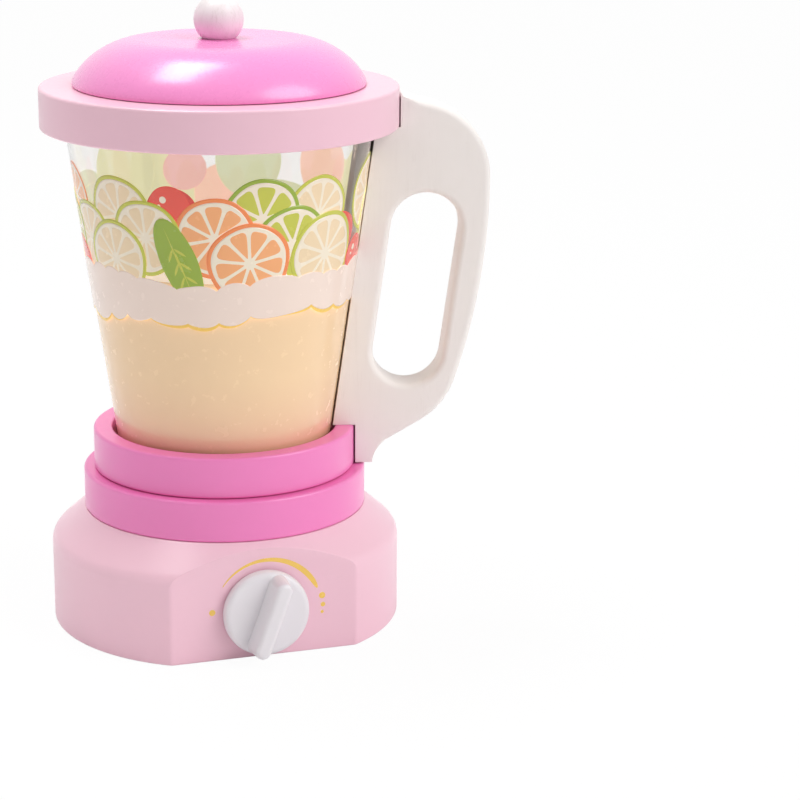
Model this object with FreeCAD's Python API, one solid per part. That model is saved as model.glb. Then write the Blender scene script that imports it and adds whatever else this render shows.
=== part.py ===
"""Toy blender for pretend kitchens: a painted wooden base with a click dial, a clear tapered jug
with a board handle that stands on it, and a turned lid that lifts out of the jug's rim.

Row frame, millimetres: the origin is the middle of the base's underside, on the jug's axis. +Z is
up and the flat front with the dial faces -Y. The jug stands turned on its base, as it was left.
"""

import math
import os

import FreeCAD
import Part

V = FreeCAD.Vector
PARTS = "parts"
NEAR = 1e-3             # two places this close are the same

# Fits between pieces
SEAT_GAP = 0.2          # under a piece that lifts off, such as the jug on its base
LOOSE_FIT = 0.5         # radial play of a spigot that drops into a bore
RUN_FIT = 0.08          # radial play of the spindle in its bush
GLUE_FIT = 0.05         # between pieces that are glued, screwed or pressed together

# Boards and rings
RING_THICKNESS = 15.0   # the collar, the foot ring and the rim are turned from one board size
RING_ROUND = 1.0        # softened outer corners of the rings
CORNER_BREAK = 0.8      # sanded corner on painted wood

# Jug: the clear wall's sizes drive the rings above and below it
JUG_TURN = -13.5        # degrees, how far the jug stands turned on its base
JUG_HEIGHT = 141.8      # from the foot ring's underside to the rim's top
WALL_RADIUS_LOW = 40.2  # outside of the clear wall at the foot ring's top
WALL_RADIUS_HIGH = 56.0  # outside of the clear wall at the rim's underside
WALL = 1.0
FOOT_BORE = WALL_RADIUS_LOW + 1.5      # a narrow dark joint stays open round the wall
FOOT_RADIUS = FOOT_BORE + 6.9
RIM_RADIUS = WALL_RADIUS_HIGH + 9.0
RIM_BORE = WALL_RADIUS_HIGH - 8.5
RIM_LIP = 8.0           # height of the lip that the lid drops into
FLANGE_THICKNESS = 6.0  # flange of the floor plug, which the wall stands on
FLOOR_THICKNESS = 14.0  # whole height of the floor plug
SPIGOT_RADIUS = FOOT_BORE - 5.2
SPIGOT_DEPTH = 8.0      # how far the jug's spigot drops into the collar
FLOOR_SCREWS = 3
FLOOR_SCREW_CIRCLE = 24.0

# Collar on the base
COLLAR_RADIUS = FOOT_RADIUS + 3.9
COLLAR_BORE = SPIGOT_RADIUS + LOOSE_FIT
COLLAR_DOWELS = 3
COLLAR_DOWEL_CIRCLE = (COLLAR_BORE + COLLAR_RADIUS) / 2
COLLAR_DOWEL_LENGTH = 14.0
DOWEL_RADIUS = 3.0

# Base block
BASE_HEIGHT = 43.0
SHOULDER_DROP = 10.8    # the sloping shoulder, down and out from under the collar
SHOULDER_REACH = 12.4
SHOULDER_ROUND = 6.0    # softened turn between the side and the shoulder
SHOULDER_TOP_RADIUS = COLLAR_RADIUS + 0.1
BASE_RADIUS = SHOULDER_TOP_RADIUS + SHOULDER_REACH
BASE_SIDE = BASE_HEIGHT - SHOULDER_DROP
BASE_FLAT = BASE_RADIUS - 10.0         # from the axis to the flat front

# Handle, cut from a board
HANDLE_THICKNESS = 16.0
HANDLE_ROUND = 2.2
HANDLE_TOP_DROP = 3.7   # from the rim's top down to the handle's corner
HANDLE_TOP_SLOPE = 14.0
HANDLE_TOP_RUN = 12.3
HANDLE_TOP_BEND = 28.0  # radius of the handle's upper corner
HANDLE_FOOT = 6.3       # width of the foot, outside the foot ring
HANDLE_FOOT_LIFT = 0.4  # under the foot, above the foot ring's underside
FOOT_LEAN = 85.0        # lines of the lower end, as degrees from level
HEEL_LEAN = 30.0
GRIP_LEAN = 71.3
THROAT_BEND = 10.5      # hollow radius above the foot
HEEL_RUN = 14.8
HEEL_BEND = 28.5        # radius where the underside turns into the long outer side
GRIP_RADIUS = 13.0      # half width of the finger opening
GRIP_STRIP = 11.0       # wood between the wall and the opening
GRIP_BELOW_RIM = 24.4
GRIP_ABOVE_FOOT = 15.1
BATTEN_THICKNESS = 4.5
BATTEN_CLEARANCE = 0.5  # from the floor plug, and below the rim's lip
HANDLE_SCREWS = 3
HANDLE_SCREW_MARGIN = 10.0  # from the foot ring's top and from the rim's underside
HANDLE_SCREW_COVER = 3.5    # wood left between a screw's point and the opening
HANDLE_DOWEL_RADIUS = 2.5
DOWEL_COVER = 1.5       # wood left between a dowel's end and the surface behind it
RIM_DOWEL_LENGTH = 13.5
FOOT_DOWEL_LENGTH = 10.8

# Lid
LID_RADIUS = RIM_BORE + 5.5
LID_HEIGHT = 16.3
LID_EDGE = 1.0          # upright edge below the crown
LID_FALL_REACH = 25.0   # from the flat middle of the crown out to its edge
LID_FALL_POWER = 1.35   # 2 makes the fall a quarter ellipse, less makes its lower end straighter
CROWN_STEPS = 8
LID_SPIGOT_DEPTH = 7.0
BALL_RADIUS = 9.0
BALL_SINK = 2.3         # how deep the ball sits in the crown
LID_SCREW_POINT_RISE = 4.7  # above the crown's top
LID_SCREW_RADIUS = 2.0
LID_SCREW_HEAD = 4.2

# Dial on the flat front
DIAL_RADIUS = 15.8
DIAL_FLOOR_GAP = 1.7
DIAL_PLATE = 5.0
DIAL_PLATE_ROUND = 2.5
DIAL_GAP = 0.5          # between the dial and the flat front
DIAL_TILT = 20.0        # degrees, lean of the grip bar from upright, to the right
BAR_HEIGHT = 8.4
BAR_WIDTH_ROOT = 8.0
BAR_WIDTH_TOP = 5.6
BAR_TOP_INSET = 0.9     # how far the bar's ends draw in towards its top
BAR_ROUND = 1.6
FRONT_WALL = 15.0       # wood between the flat front and the pocket
SPINDLE_RADIUS = 3.0
SPINDLE_IN_DIAL = 8.0
BUSH_WALL = 2.0
BUSH_FLANGE_WIDTH = 2.5
BUSH_FLANGE = 1.5
WASHER_THICKNESS = 1.0
WASHER_WIDTH = 3.5
AXIAL_PLAY = 0.2

# Clicker in the pocket behind the dial
WHEEL_RADIUS = 9.5
WHEEL_THICKNESS = 5.0
CLICKS = 12
CLICK_CUT_RADIUS = 2.0
CLICK_DEPTH = 1.2
SPRING_THICKNESS = 0.6
SPRING_WIDTH = 5.0
SPRING_TIP_RADIUS = 1.2
SPRING_TIP_GAP = 0.2
SPRING_REACH = 20.0     # from the wheel's middle to the spring's screw
SPRING_OVERHANG = 4.0   # past the screw and past the tip
SPRING_LIFT = 1.2       # between the wheel's tips and the straight of the spring
SPRING_BEND_RUN = 3.2   # sloping run each side of the tip, across
BLOCK_HEIGHT = 2.2      # packing between the spring and the pocket's ceiling
BLOCK_LENGTH = 10.0
BLOCK_WIDTH = 7.0
SPRING_SCREW_BITE = 6.0

# Pocket underneath, and the plate that closes it
POCKET_SIDE = 7.0       # from the spring's screw to the pocket's end
POCKET_DEPTH = 28.0     # from the front wall back
POCKET_CORNER = 6.0
COVER_LEDGE = 9.0       # the plate rests on this much wood all round
COVER_THICKNESS = 4.0
COVER_RECESS = 0.6      # the plate lies this deep, so that only wood meets the table

# Fasteners
SCREW_RADIUS = 1.5
SCREW_HEAD_RADIUS = 3.0
SCREW_HEAD_DEPTH = 1.8
SCREW_LENGTH = 13.0
SCREW_POINT = 2.5
DRIVE_WIDTH = 0.8
DRIVE_DEPTH = 1.0
DRIVE_SPAN = 1.3        # length of the cross, in head radii

# Heights that follow from the sizes above
COLLAR_TOP = BASE_HEIGHT + RING_THICKNESS
JUG_BOTTOM = COLLAR_TOP + SEAT_GAP
FOOT_TOP = JUG_BOTTOM + RING_THICKNESS
RIM_TOP = JUG_BOTTOM + JUG_HEIGHT
RIM_BOTTOM = RIM_TOP - RING_THICKNESS
LIP_BOTTOM = RIM_TOP - RIM_LIP
FLOOR_TOP = JUG_BOTTOM + FLOOR_THICKNESS
FLANGE_TOP = JUG_BOTTOM + FLANGE_THICKNESS
LID_BOTTOM = RIM_TOP + SEAT_GAP
LID_TOP = LID_BOTTOM + LID_HEIGHT
WALL_SLOPE = (WALL_RADIUS_HIGH - WALL_RADIUS_LOW) / (RIM_BOTTOM - FOOT_TOP)
DIAL_HEIGHT = DIAL_RADIUS + DIAL_FLOOR_GAP
SPRING_BOTTOM = DIAL_HEIGHT + WHEEL_RADIUS + SPRING_LIFT
SPRING_TIP = DIAL_HEIGHT + WHEEL_RADIUS - CLICK_DEPTH + SPRING_TIP_GAP
POCKET_TOP = SPRING_BOTTOM + SPRING_THICKNESS + BLOCK_HEIGHT
COVER_TOP = COVER_RECESS + COVER_THICKNESS

# Depths behind the flat front, measured outwards from it
INNER_FACE = -FRONT_WALL
WASHER_TOP = INNER_FACE - BUSH_FLANGE - AXIAL_PLAY
WHEEL_TOP = WASHER_TOP - WASHER_THICKNESS
WHEEL_BACK = WHEEL_TOP - WHEEL_THICKNESS
WHEEL_MIDDLE = (WHEEL_TOP + WHEEL_BACK) / 2


class Pen:
    """Draws an outline in the XZ plane as runs and turns, so that arcs meet lines smoothly."""

    def __init__(self, x, z, heading=0.0):
        self.start = V(x, 0, z)
        self.at = V(x, 0, z)
        self.heading = heading
        self.edges = []

    def _along(self, heading, length):
        angle = math.radians(heading)
        return V(length * math.cos(angle), 0, length * math.sin(angle))

    def run(self, length):
        end = self.at + self._along(self.heading, length)
        self.edges.append(Part.LineSegment(self.at, end).toShape())
        self.at = end
        return self

    def turn(self, radius, degrees):
        """Turns left by degrees, or right where degrees is negative, on an arc of that radius."""
        side = 90.0 if degrees > 0 else -90.0
        centre = self.at + self._along(self.heading + side, radius)
        middle = centre + self._along(self.heading - side + degrees / 2, radius)
        end = centre + self._along(self.heading - side + degrees, radius)
        self.edges.append(Part.Arc(self.at, middle, end).toShape())
        self.at = end
        self.heading += degrees
        return self

    def to(self, x, z):
        end = V(x, 0, z)
        self.edges.append(Part.LineSegment(self.at, end).toShape())
        self.at = end
        return self

    def ease(self, x, z, heading):
        """Goes to a point in one long soft curve that arrives at a given heading."""
        end = V(x, 0, z)
        reach = self.at.distanceToPoint(end) / 3
        curve = Part.BezierCurve()
        leaving = self.at + self._along(self.heading, reach)
        arriving = end - self._along(heading, reach)
        curve.setPoles([self.at, leaving, arriving, end])
        self.edges.append(curve.toShape())
        self.at = end
        self.heading = heading
        return self

    def face(self):
        if self.at.distanceToPoint(self.start) > NEAR:
            self.to(self.start.x, self.start.z)
        return Part.Face(Part.Wire(self.edges))


def turned(face):
    """A solid of revolution about Z from a face in the XZ plane."""
    return face.revolve(V(0, 0, 0), V(0, 0, 1), 360)


def disc(radius, bottom, top):
    return Part.makeCylinder(radius, top - bottom, V(0, 0, bottom))


def wall_radius(z):
    """Outside radius of the clear wall at a height."""
    return WALL_RADIUS_LOW + WALL_SLOPE * (z - FOOT_TOP)


def wall_cone(bottom, top, inset):
    """Solid cone as wide as the clear wall, less inset all round."""
    return Part.makeCone(
        wall_radius(bottom) - inset, wall_radius(top) - inset, top - bottom, V(0, 0, bottom)
    )


def circle_edges(shape, radius, z):
    """The full-circle edges of a turned shape at that radius and height."""
    found = []
    for edge in shape.Edges:
        box = edge.BoundBox
        flat = abs(box.ZMin - z) < NEAR and abs(box.ZMax - z) < NEAR
        if flat and abs(box.XMax - radius) < NEAR:
            found.append(edge)
    return found


def ring(outer, bore, bottom, top):
    """A turned board ring: its outer corners are rounded and its bore's top corner is sanded."""
    shape = disc(outer, bottom, top).cut(disc(bore, bottom, top))
    shape = shape.makeFillet(RING_ROUND, circle_edges(shape, outer, top))
    shape = shape.makeFillet(CORNER_BREAK, circle_edges(shape, outer, bottom))
    return shape.makeFillet(CORNER_BREAK, circle_edges(shape, bore, top))


def around(shape, count, start=0.0):
    """Copies of a shape spaced evenly about Z."""
    copies = []
    for i in range(count):
        copy = shape.copy()
        copy.rotate(V(0, 0, 0), V(0, 0, 1), start + 360.0 * i / count)
        copies.append(copy)
    return copies


def placed(shape, at, rotation):
    """A copy of a shape, turned about the origin and then moved to a point."""
    copy = shape.copy()
    copy.Placement = FreeCAD.Placement(at, rotation).multiply(copy.Placement)
    return copy


def aimed(shape, at, direction):
    """A shape drawn along +Z from the origin, moved to a point and aimed along a direction."""
    return placed(shape, at, FreeCAD.Rotation(V(0, 0, 1), direction))


def on_front(shape):
    """From dial coordinates (across, up, out of the flat front) to the row frame."""
    return placed(shape, V(0, -BASE_FLAT, DIAL_HEIGHT), FreeCAD.Rotation(V(1, 0, 0), 90))


def on_jug(shape):
    """From the handle's own plane, drawn with the handle along +X, to the turned jug."""
    return placed(shape, V(0, 0, 0), FreeCAD.Rotation(V(0, 0, 1), JUG_TURN))


def screw_body(length, radius, head_radius, gap=0.0):
    """A countersunk screw's outline, pointing along +Z with its head's face at z 0."""
    pen = Pen(0, 0)
    pen.to(head_radius + gap, 0)
    pen.to(radius + gap, SCREW_HEAD_DEPTH)
    pen.to(radius + gap, length - SCREW_POINT)
    pen.to(0, length + gap)
    return turned(pen.face())


def cross_drive(head_radius):
    """The cross cut in a screw's head."""
    length = DRIVE_SPAN * head_radius
    slot = Part.makeBox(length, DRIVE_WIDTH, DRIVE_DEPTH, V(-length / 2, -DRIVE_WIDTH / 2, 0))
    across = slot.copy()
    across.rotate(V(0, 0, 0), V(0, 0, 1), 90)
    return slot.fuse(across)


def screw(length=SCREW_LENGTH, radius=SCREW_RADIUS, head=SCREW_HEAD_RADIUS):
    """A countersunk wood screw with a cross drive."""
    return screw_body(length, radius, head).cut(cross_drive(head))


def screw_hole(length=SCREW_LENGTH, radius=SCREW_RADIUS, head=SCREW_HEAD_RADIUS):
    """The countersunk hole that a screw of that size seats in."""
    return screw_body(length, radius, head, GLUE_FIT)


def pan_screw(length, head_radius):
    """A pan-head screw pointing along +Z, the underside of its head just clear of z 0."""
    top = -GLUE_FIT - SCREW_HEAD_DEPTH
    head = disc(head_radius, top, -GLUE_FIT)
    head = head.makeFillet(CORNER_BREAK, circle_edges(head, head_radius, top))
    drive = cross_drive(head_radius)
    drive.translate(V(0, 0, top))
    return head.fuse(disc(SCREW_RADIUS, -GLUE_FIT, length)).removeSplitter().cut(drive)


def pan_screw_hole(length):
    return disc(SCREW_RADIUS + GLUE_FIT, -GLUE_FIT, length + GLUE_FIT)


def several(shape, places):
    """One copy of a shape for each (point, direction)."""
    return [aimed(shape, at, direction) for at, direction in places]


def cut_all(shape, tools):
    for tool in tools:
        shape = shape.cut(tool)
    return shape


def rounded_slab(half, front, back, corner, bottom, top):
    """An upright slab with round corners: half its width, and the y of its front and back."""
    slab = Part.makeBox(2 * half, back - front, top - bottom, V(-half, front, bottom))
    uprights = [e for e in slab.Edges if e.BoundBox.ZLength > (top - bottom) / 2]
    return slab.makeFillet(corner, uprights)


# Where the pocket, the plate and the fasteners go
def pocket_extent():
    """Half width, front and back of the pocket."""
    front = -BASE_FLAT + FRONT_WALL
    return SPRING_REACH + POCKET_SIDE, front, front + POCKET_DEPTH


def pocket(bottom, top, grow=0.0):
    """The pocket's shape between two heights, or a larger one round it."""
    half, front, back = pocket_extent()
    return rounded_slab(half + grow, front - grow, back + grow, POCKET_CORNER + grow, bottom, top)


def cover_screw_places():
    """One in each corner of the ledge."""
    half, front, back = pocket_extent()
    out = COVER_LEDGE / 2
    places = []
    for x in (-half - out, half + out):
        for y in (front, back):
            places.append((V(x, y, COVER_RECESS), V(0, 0, 1)))
    return places


def floor_screw_places():
    low = JUG_BOTTOM - SPIGOT_DEPTH
    spots = around(Part.Vertex(FLOOR_SCREW_CIRCLE, 0, low), FLOOR_SCREWS)
    return [(spot.Point, V(0, 0, 1)) for spot in spots]


def handle_screw_length():
    return BATTEN_THICKNESS + WALL + GRIP_STRIP - HANDLE_SCREW_COVER


def handle_screw_places():
    """On the batten's inner face, square to the wall, in the handle's own plane."""
    outwards = V(1, 0, -WALL_SLOPE)
    outwards.normalize()
    low = FOOT_TOP + HANDLE_SCREW_MARGIN
    high = RIM_BOTTOM - HANDLE_SCREW_MARGIN
    places = []
    for i in range(HANDLE_SCREWS):
        z = low + (high - low) * i / (HANDLE_SCREWS - 1)
        places.append((V(wall_radius(z) - WALL - BATTEN_THICKNESS, 0, z), outwards))
    return places


def handle_dowels(gap=0.0):
    """Two dowels, from the rim and the foot ring into the handle, with gap for their holes."""
    radius = HANDLE_DOWEL_RADIUS + gap
    rim_height = (RIM_BOTTOM + LIP_BOTTOM) / 2 + DOWEL_COVER
    rim_start = wall_radius(rim_height) + DOWEL_COVER
    upper = Part.makeCylinder(
        radius, RIM_DOWEL_LENGTH + 2 * gap, V(rim_start - gap, 0, rim_height), V(1, 0, 0)
    )
    foot_height = (JUG_BOTTOM + FOOT_TOP) / 2
    lower = Part.makeCylinder(
        radius,
        FOOT_DOWEL_LENGTH + 2 * gap,
        V(FOOT_BORE + DOWEL_COVER - gap, 0, foot_height),
        V(1, 0, 0),
    )
    return [upper, lower]


def collar_dowels(gap=0.0):
    """Dowels that hold the collar on the block, half in each."""
    low = BASE_HEIGHT - COLLAR_DOWEL_LENGTH / 2 - gap
    one = Part.makeCylinder(
        DOWEL_RADIUS + gap, COLLAR_DOWEL_LENGTH + 2 * gap, V(COLLAR_DOWEL_CIRCLE, 0, low)
    )
    return around(one, COLLAR_DOWELS, 30.0)


# Base
def base_block():
    """The painted block: upright side, sloping shoulder, flat front and the pocket underneath."""
    lean = math.degrees(math.atan2(SHOULDER_REACH, SHOULDER_DROP))
    easing = SHOULDER_ROUND * math.tan(math.radians(lean / 2))
    pen = Pen(0, 0)
    pen.to(BASE_RADIUS - CORNER_BREAK, 0)
    pen.turn(CORNER_BREAK, 90)
    pen.run(BASE_SIDE - CORNER_BREAK - easing)
    pen.turn(SHOULDER_ROUND, lean)
    pen.to(SHOULDER_TOP_RADIUS, BASE_HEIGHT)
    pen.to(0, BASE_HEIGHT)
    block = turned(pen.face())
    beyond = 2 * BASE_RADIUS
    front = Part.makeBox(beyond, beyond, beyond, V(-BASE_RADIUS, -BASE_FLAT - beyond, -CORNER_BREAK))
    block = block.cut(front)
    uprights = [
        edge
        for edge in block.Edges
        if abs(edge.BoundBox.YMax + BASE_FLAT) < NEAR
        and edge.BoundBox.XLength < NEAR
        and edge.BoundBox.ZLength > BASE_SIDE / 2
    ]
    block = block.makeFillet(CORNER_BREAK, uprights)
    block = block.cut(pocket(0, POCKET_TOP))
    block = block.cut(pocket(0, COVER_TOP, COVER_LEDGE + GLUE_FIT))
    bush_hole = disc(SPINDLE_RADIUS + BUSH_WALL + GLUE_FIT, INNER_FACE - AXIAL_PLAY, CORNER_BREAK)
    block = block.cut(on_front(bush_hole))
    block = cut_all(block, collar_dowels(GLUE_FIT))
    block = cut_all(block, several(screw_hole(), cover_screw_places()))
    return block.cut(spring_screw_place(pan_screw_hole(spring_screw_length())))


def base_collar():
    return cut_all(
        ring(COLLAR_RADIUS, COLLAR_BORE, BASE_HEIGHT, COLLAR_TOP), collar_dowels(GLUE_FIT)
    )


def base_cover():
    plate = pocket(COVER_RECESS, COVER_TOP - GLUE_FIT, COVER_LEDGE)
    return cut_all(plate, several(screw_hole(), cover_screw_places()))


# Dial and clicker, drawn in dial coordinates: across, up, out of the flat front
def bar_outline(width, inset, height):
    """A round-ended outline across the dial, at a height above the flat front."""
    r = width / 2
    half = DIAL_RADIUS - CORNER_BREAK / 2 - r - inset
    top = V(0, half, height)
    low = V(0, -half, height)
    across = V(r, 0, 0)
    return Part.Wire(
        [
            Part.LineSegment(low + across, top + across).toShape(),
            Part.Arc(top + across, top + V(0, r, 0), top - across).toShape(),
            Part.LineSegment(top - across, low - across).toShape(),
            Part.Arc(low - across, low - V(0, r, 0), low + across).toShape(),
        ]
    )


def grip_bar():
    """The raised bar across the dial, drawn in towards its softened top."""
    bar_top = DIAL_GAP + DIAL_PLATE + BAR_HEIGHT
    root = bar_outline(BAR_WIDTH_ROOT, 0.0, DIAL_GAP + DIAL_PLATE / 2)
    crown = bar_outline(BAR_WIDTH_TOP, BAR_TOP_INSET, bar_top)
    bar = Part.makeLoft([root, crown], True, True)
    top_edges = [edge for edge in bar.Edges if abs(edge.BoundBox.ZMin - bar_top) < NEAR]
    bar = bar.makeFillet(BAR_ROUND, top_edges)
    bar.rotate(V(0, 0, 0), V(0, 0, 1), -DIAL_TILT)
    return bar


def dial_knob():
    """The white dial: a round plate with a soft edge, the grip bar and a blind bore behind."""
    plate_top = DIAL_GAP + DIAL_PLATE
    plate = disc(DIAL_RADIUS, DIAL_GAP, plate_top)
    plate = plate.makeFillet(DIAL_PLATE_ROUND, circle_edges(plate, DIAL_RADIUS, plate_top))
    plate = plate.makeFillet(CORNER_BREAK, circle_edges(plate, DIAL_RADIUS, DIAL_GAP))
    knob = plate.fuse(grip_bar()).removeSplitter()
    bore = disc(SPINDLE_RADIUS + GLUE_FIT, 0, DIAL_GAP + SPINDLE_IN_DIAL + GLUE_FIT)
    return on_front(knob.cut(bore))


def on_spindle_end(shape):
    """Moves a shape drawn along +Z to the spindle's inner end, pointing out to the dial."""
    return aimed(shape, V(0, 0, WHEEL_BACK), V(0, 0, 1))


def dial_spindle():
    rod = disc(SPINDLE_RADIUS, WHEEL_BACK, DIAL_GAP + SPINDLE_IN_DIAL)
    return on_front(rod.cut(on_spindle_end(pan_screw_hole(SCREW_LENGTH))))


def spindle_screw():
    """Its pan head holds the wheel on the spindle."""
    return on_front(on_spindle_end(pan_screw(SCREW_LENGTH, SPINDLE_RADIUS + SCREW_RADIUS)))


def spindle_bush():
    """A flanged bush, pressed into the front wall from the pocket side."""
    barrel_radius = SPINDLE_RADIUS + BUSH_WALL
    barrel = disc(barrel_radius, INNER_FACE, -CORNER_BREAK)
    flange = disc(barrel_radius + BUSH_FLANGE_WIDTH, INNER_FACE - BUSH_FLANGE, INNER_FACE)
    bore = disc(SPINDLE_RADIUS + RUN_FIT, INNER_FACE - BUSH_FLANGE, 0)
    return on_front(barrel.fuse(flange).removeSplitter().cut(bore))


def spindle_washer():
    shape = disc(SPINDLE_RADIUS + WASHER_WIDTH, WHEEL_TOP, WASHER_TOP)
    return on_front(shape.cut(disc(SPINDLE_RADIUS + GLUE_FIT, WHEEL_TOP, WASHER_TOP)))


def click_wheel():
    """A wheel with a round hollow for each click, one of them straight up under the spring."""
    wheel = disc(WHEEL_RADIUS, WHEEL_BACK, WHEEL_TOP)
    cut_at = WHEEL_RADIUS - CLICK_DEPTH + CLICK_CUT_RADIUS
    hollow = Part.makeCylinder(CLICK_CUT_RADIUS, WHEEL_THICKNESS, V(0, cut_at, WHEEL_BACK))
    wheel = cut_all(wheel, around(hollow, CLICKS))
    return on_front(wheel.cut(disc(SPINDLE_RADIUS + GLUE_FIT, WHEEL_BACK, WHEEL_TOP)))


def spring_middle():
    """Y of the middle of the wheel, where the spring runs."""
    return -BASE_FLAT - WHEEL_MIDDLE


def click_spring():
    """A strip bent down to a round tip, which rests in one of the wheel's hollows."""
    drop = SPRING_BOTTOM - SPRING_TIP
    slope = math.degrees(math.atan2(drop, SPRING_BEND_RUN))
    rise = SPRING_TIP_RADIUS * (1 - math.cos(math.radians(slope)))
    ramp = (drop - rise) / math.sin(math.radians(slope))
    tip_half = SPRING_TIP_RADIUS * math.sin(math.radians(slope))
    bend_half = tip_half + ramp * math.cos(math.radians(slope))
    low = Pen(-bend_half - SPRING_OVERHANG, SPRING_BOTTOM)
    low.run(SPRING_OVERHANG)
    low.heading = -slope
    low.run(ramp)
    low.turn(SPRING_TIP_RADIUS, 2 * slope)
    low.run(ramp)
    low.to(SPRING_REACH + SPRING_OVERHANG, SPRING_BOTTOM)
    up = V(0, 0, SPRING_THICKNESS)
    high = [edge.translated(up) for edge in low.edges]
    ends = [Part.LineSegment(at, at + up).toShape() for at in (low.start, low.at)]
    outline = Part.Wire(Part.__sortEdges__([*low.edges, *high, *ends]))
    strip = Part.Face(outline).extrude(V(0, SPRING_WIDTH, 0))
    strip.translate(V(0, spring_middle() - SPRING_WIDTH / 2, 0))
    return strip.cut(spring_screw_place(pan_screw_hole(spring_screw_length())))


def spring_screw_length():
    return SPRING_THICKNESS + BLOCK_HEIGHT + SPRING_SCREW_BITE


def spring_screw_place(shape):
    """Places a screw or its hole upwards through the spring's fixed end."""
    return aimed(shape, V(SPRING_REACH, spring_middle(), SPRING_BOTTOM), V(0, 0, 1))


def spring_block():
    """The packing that hangs the spring from the pocket's ceiling."""
    block = Part.makeBox(
        BLOCK_LENGTH,
        BLOCK_WIDTH,
        BLOCK_HEIGHT,
        V(SPRING_REACH - BLOCK_LENGTH / 2, spring_middle() - BLOCK_WIDTH / 2, POCKET_TOP - BLOCK_HEIGHT),
    )
    return block.cut(spring_screw_place(pan_screw_hole(spring_screw_length())))


# Jug, drawn with the handle along +X
def jug_wall():
    """The clear cone: its foot stands on the floor's flange and its top edge meets the lip."""
    bottom = FLANGE_TOP + GLUE_FIT
    top = LIP_BOTTOM - GLUE_FIT
    wall = wall_cone(bottom, top, 0.0).cut(wall_cone(bottom, top, WALL))
    return cut_all(wall, several(screw_hole(handle_screw_length()), handle_screw_places()))


def jug_rim():
    """The rim ring: a lip for the lid above, and a tapered seat for the clear wall below."""
    rim = ring(RIM_RADIUS, RIM_BORE, RIM_BOTTOM, RIM_TOP)
    seat = wall_cone(RIM_BOTTOM, LIP_BOTTOM, -GLUE_FIT)
    return cut_all(rim.cut(seat), handle_dowels(GLUE_FIT))


def jug_foot_ring():
    foot = ring(FOOT_RADIUS, FOOT_BORE, JUG_BOTTOM, FOOT_TOP)
    return cut_all(foot, handle_dowels(GLUE_FIT))


def jug_floor():
    """The floor plug: a flange pressed into the foot ring, and a tapered head inside the wall."""
    flange = disc(FOOT_BORE - GLUE_FIT, JUG_BOTTOM, FLANGE_TOP)
    head = wall_cone(FLANGE_TOP, FLOOR_TOP, WALL + GLUE_FIT)
    plug = flange.fuse(head)
    return cut_all(plug, several(screw_hole(), floor_screw_places()))


def jug_spigot():
    """The disc under the jug that finds the collar's bore."""
    bottom = JUG_BOTTOM - SPIGOT_DEPTH
    plug = disc(SPIGOT_RADIUS, bottom, JUG_BOTTOM)
    plug = plug.makeFillet(CORNER_BREAK, circle_edges(plug, SPIGOT_RADIUS, bottom))
    return cut_all(plug, several(screw_hole(), floor_screw_places()))


def handle_outline():
    """The board's outline: up the outer side as runs and turns, then back down along the jug."""
    at_rim = RIM_RADIUS + GLUE_FIT
    at_foot = FOOT_RADIUS + GLUE_FIT
    foot_bottom = JUG_BOTTOM + HANDLE_FOOT_LIFT
    corner = RIM_TOP - HANDLE_TOP_DROP
    slope = math.radians(HANDLE_TOP_SLOPE)
    bend_x = at_rim + HANDLE_TOP_RUN * math.cos(slope) + HANDLE_TOP_BEND * (1 - math.sin(slope))
    bend_z = corner - HANDLE_TOP_RUN * math.sin(slope) - HANDLE_TOP_BEND * math.cos(slope)
    pen = Pen(at_foot, foot_bottom)
    pen.run(HANDLE_FOOT)
    pen.heading = FOOT_LEAN
    pen.turn(THROAT_BEND, HEEL_LEAN - FOOT_LEAN)
    pen.run(HEEL_RUN)
    pen.turn(HEEL_BEND, GRIP_LEAN - HEEL_LEAN)
    pen.ease(bend_x, bend_z, 90)
    pen.turn(HANDLE_TOP_BEND, 90 - HANDLE_TOP_SLOPE)
    pen.to(at_rim, corner)
    pen.to(at_rim, RIM_BOTTOM - GLUE_FIT)
    pen.to(wall_radius(RIM_BOTTOM) + GLUE_FIT, RIM_BOTTOM - GLUE_FIT)
    pen.to(wall_radius(FOOT_TOP) + GLUE_FIT, FOOT_TOP + GLUE_FIT)
    pen.to(at_foot, FOOT_TOP + GLUE_FIT)
    return pen.face()


def grip_opening():
    """The leaning, round-ended finger opening, which follows the wall."""
    inset = GRIP_STRIP + GRIP_RADIUS
    low_z = FOOT_TOP + GRIP_ABOVE_FOOT + GRIP_RADIUS
    high_z = RIM_BOTTOM - GRIP_BELOW_RIM - GRIP_RADIUS
    low = V(wall_radius(low_z) + inset, 0, low_z)
    high = V(wall_radius(high_z) + inset, 0, high_z)
    along = (high - low).normalize()
    side = V(along.z, 0, -along.x) * GRIP_RADIUS
    end = along * GRIP_RADIUS
    edges = [
        Part.LineSegment(low + side, high + side).toShape(),
        Part.Arc(high + side, high + end, high - side).toShape(),
        Part.LineSegment(high - side, low - side).toShape(),
        Part.Arc(low - side, low - end, low + side).toShape(),
    ]
    return Part.Face(Part.Wire(edges))


def board(face):
    """A face in the handle's plane, as thick as the handle."""
    slab = face.extrude(V(0, HANDLE_THICKNESS, 0))
    slab.translate(V(0, -HANDLE_THICKNESS / 2, 0))
    return slab


def softened(shape, seats):
    """Rounds the edges on a board's two faces, but not those that lie on its seats."""
    free = []
    for edge in shape.Edges:
        box = edge.BoundBox
        on_face = box.YLength < NEAR and abs(abs(box.YMin) - HANDLE_THICKNESS / 2) < NEAR
        middle = edge.valueAt((edge.FirstParameter + edge.LastParameter) / 2)
        seated = any(abs(x - middle.x) < NEAR and low < middle.z < high for x, low, high in seats(middle.z))
        if on_face and not seated and box.ZLength > NEAR:
            free.append(edge)
    return shape.makeFillet(HANDLE_ROUND, free)


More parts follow.
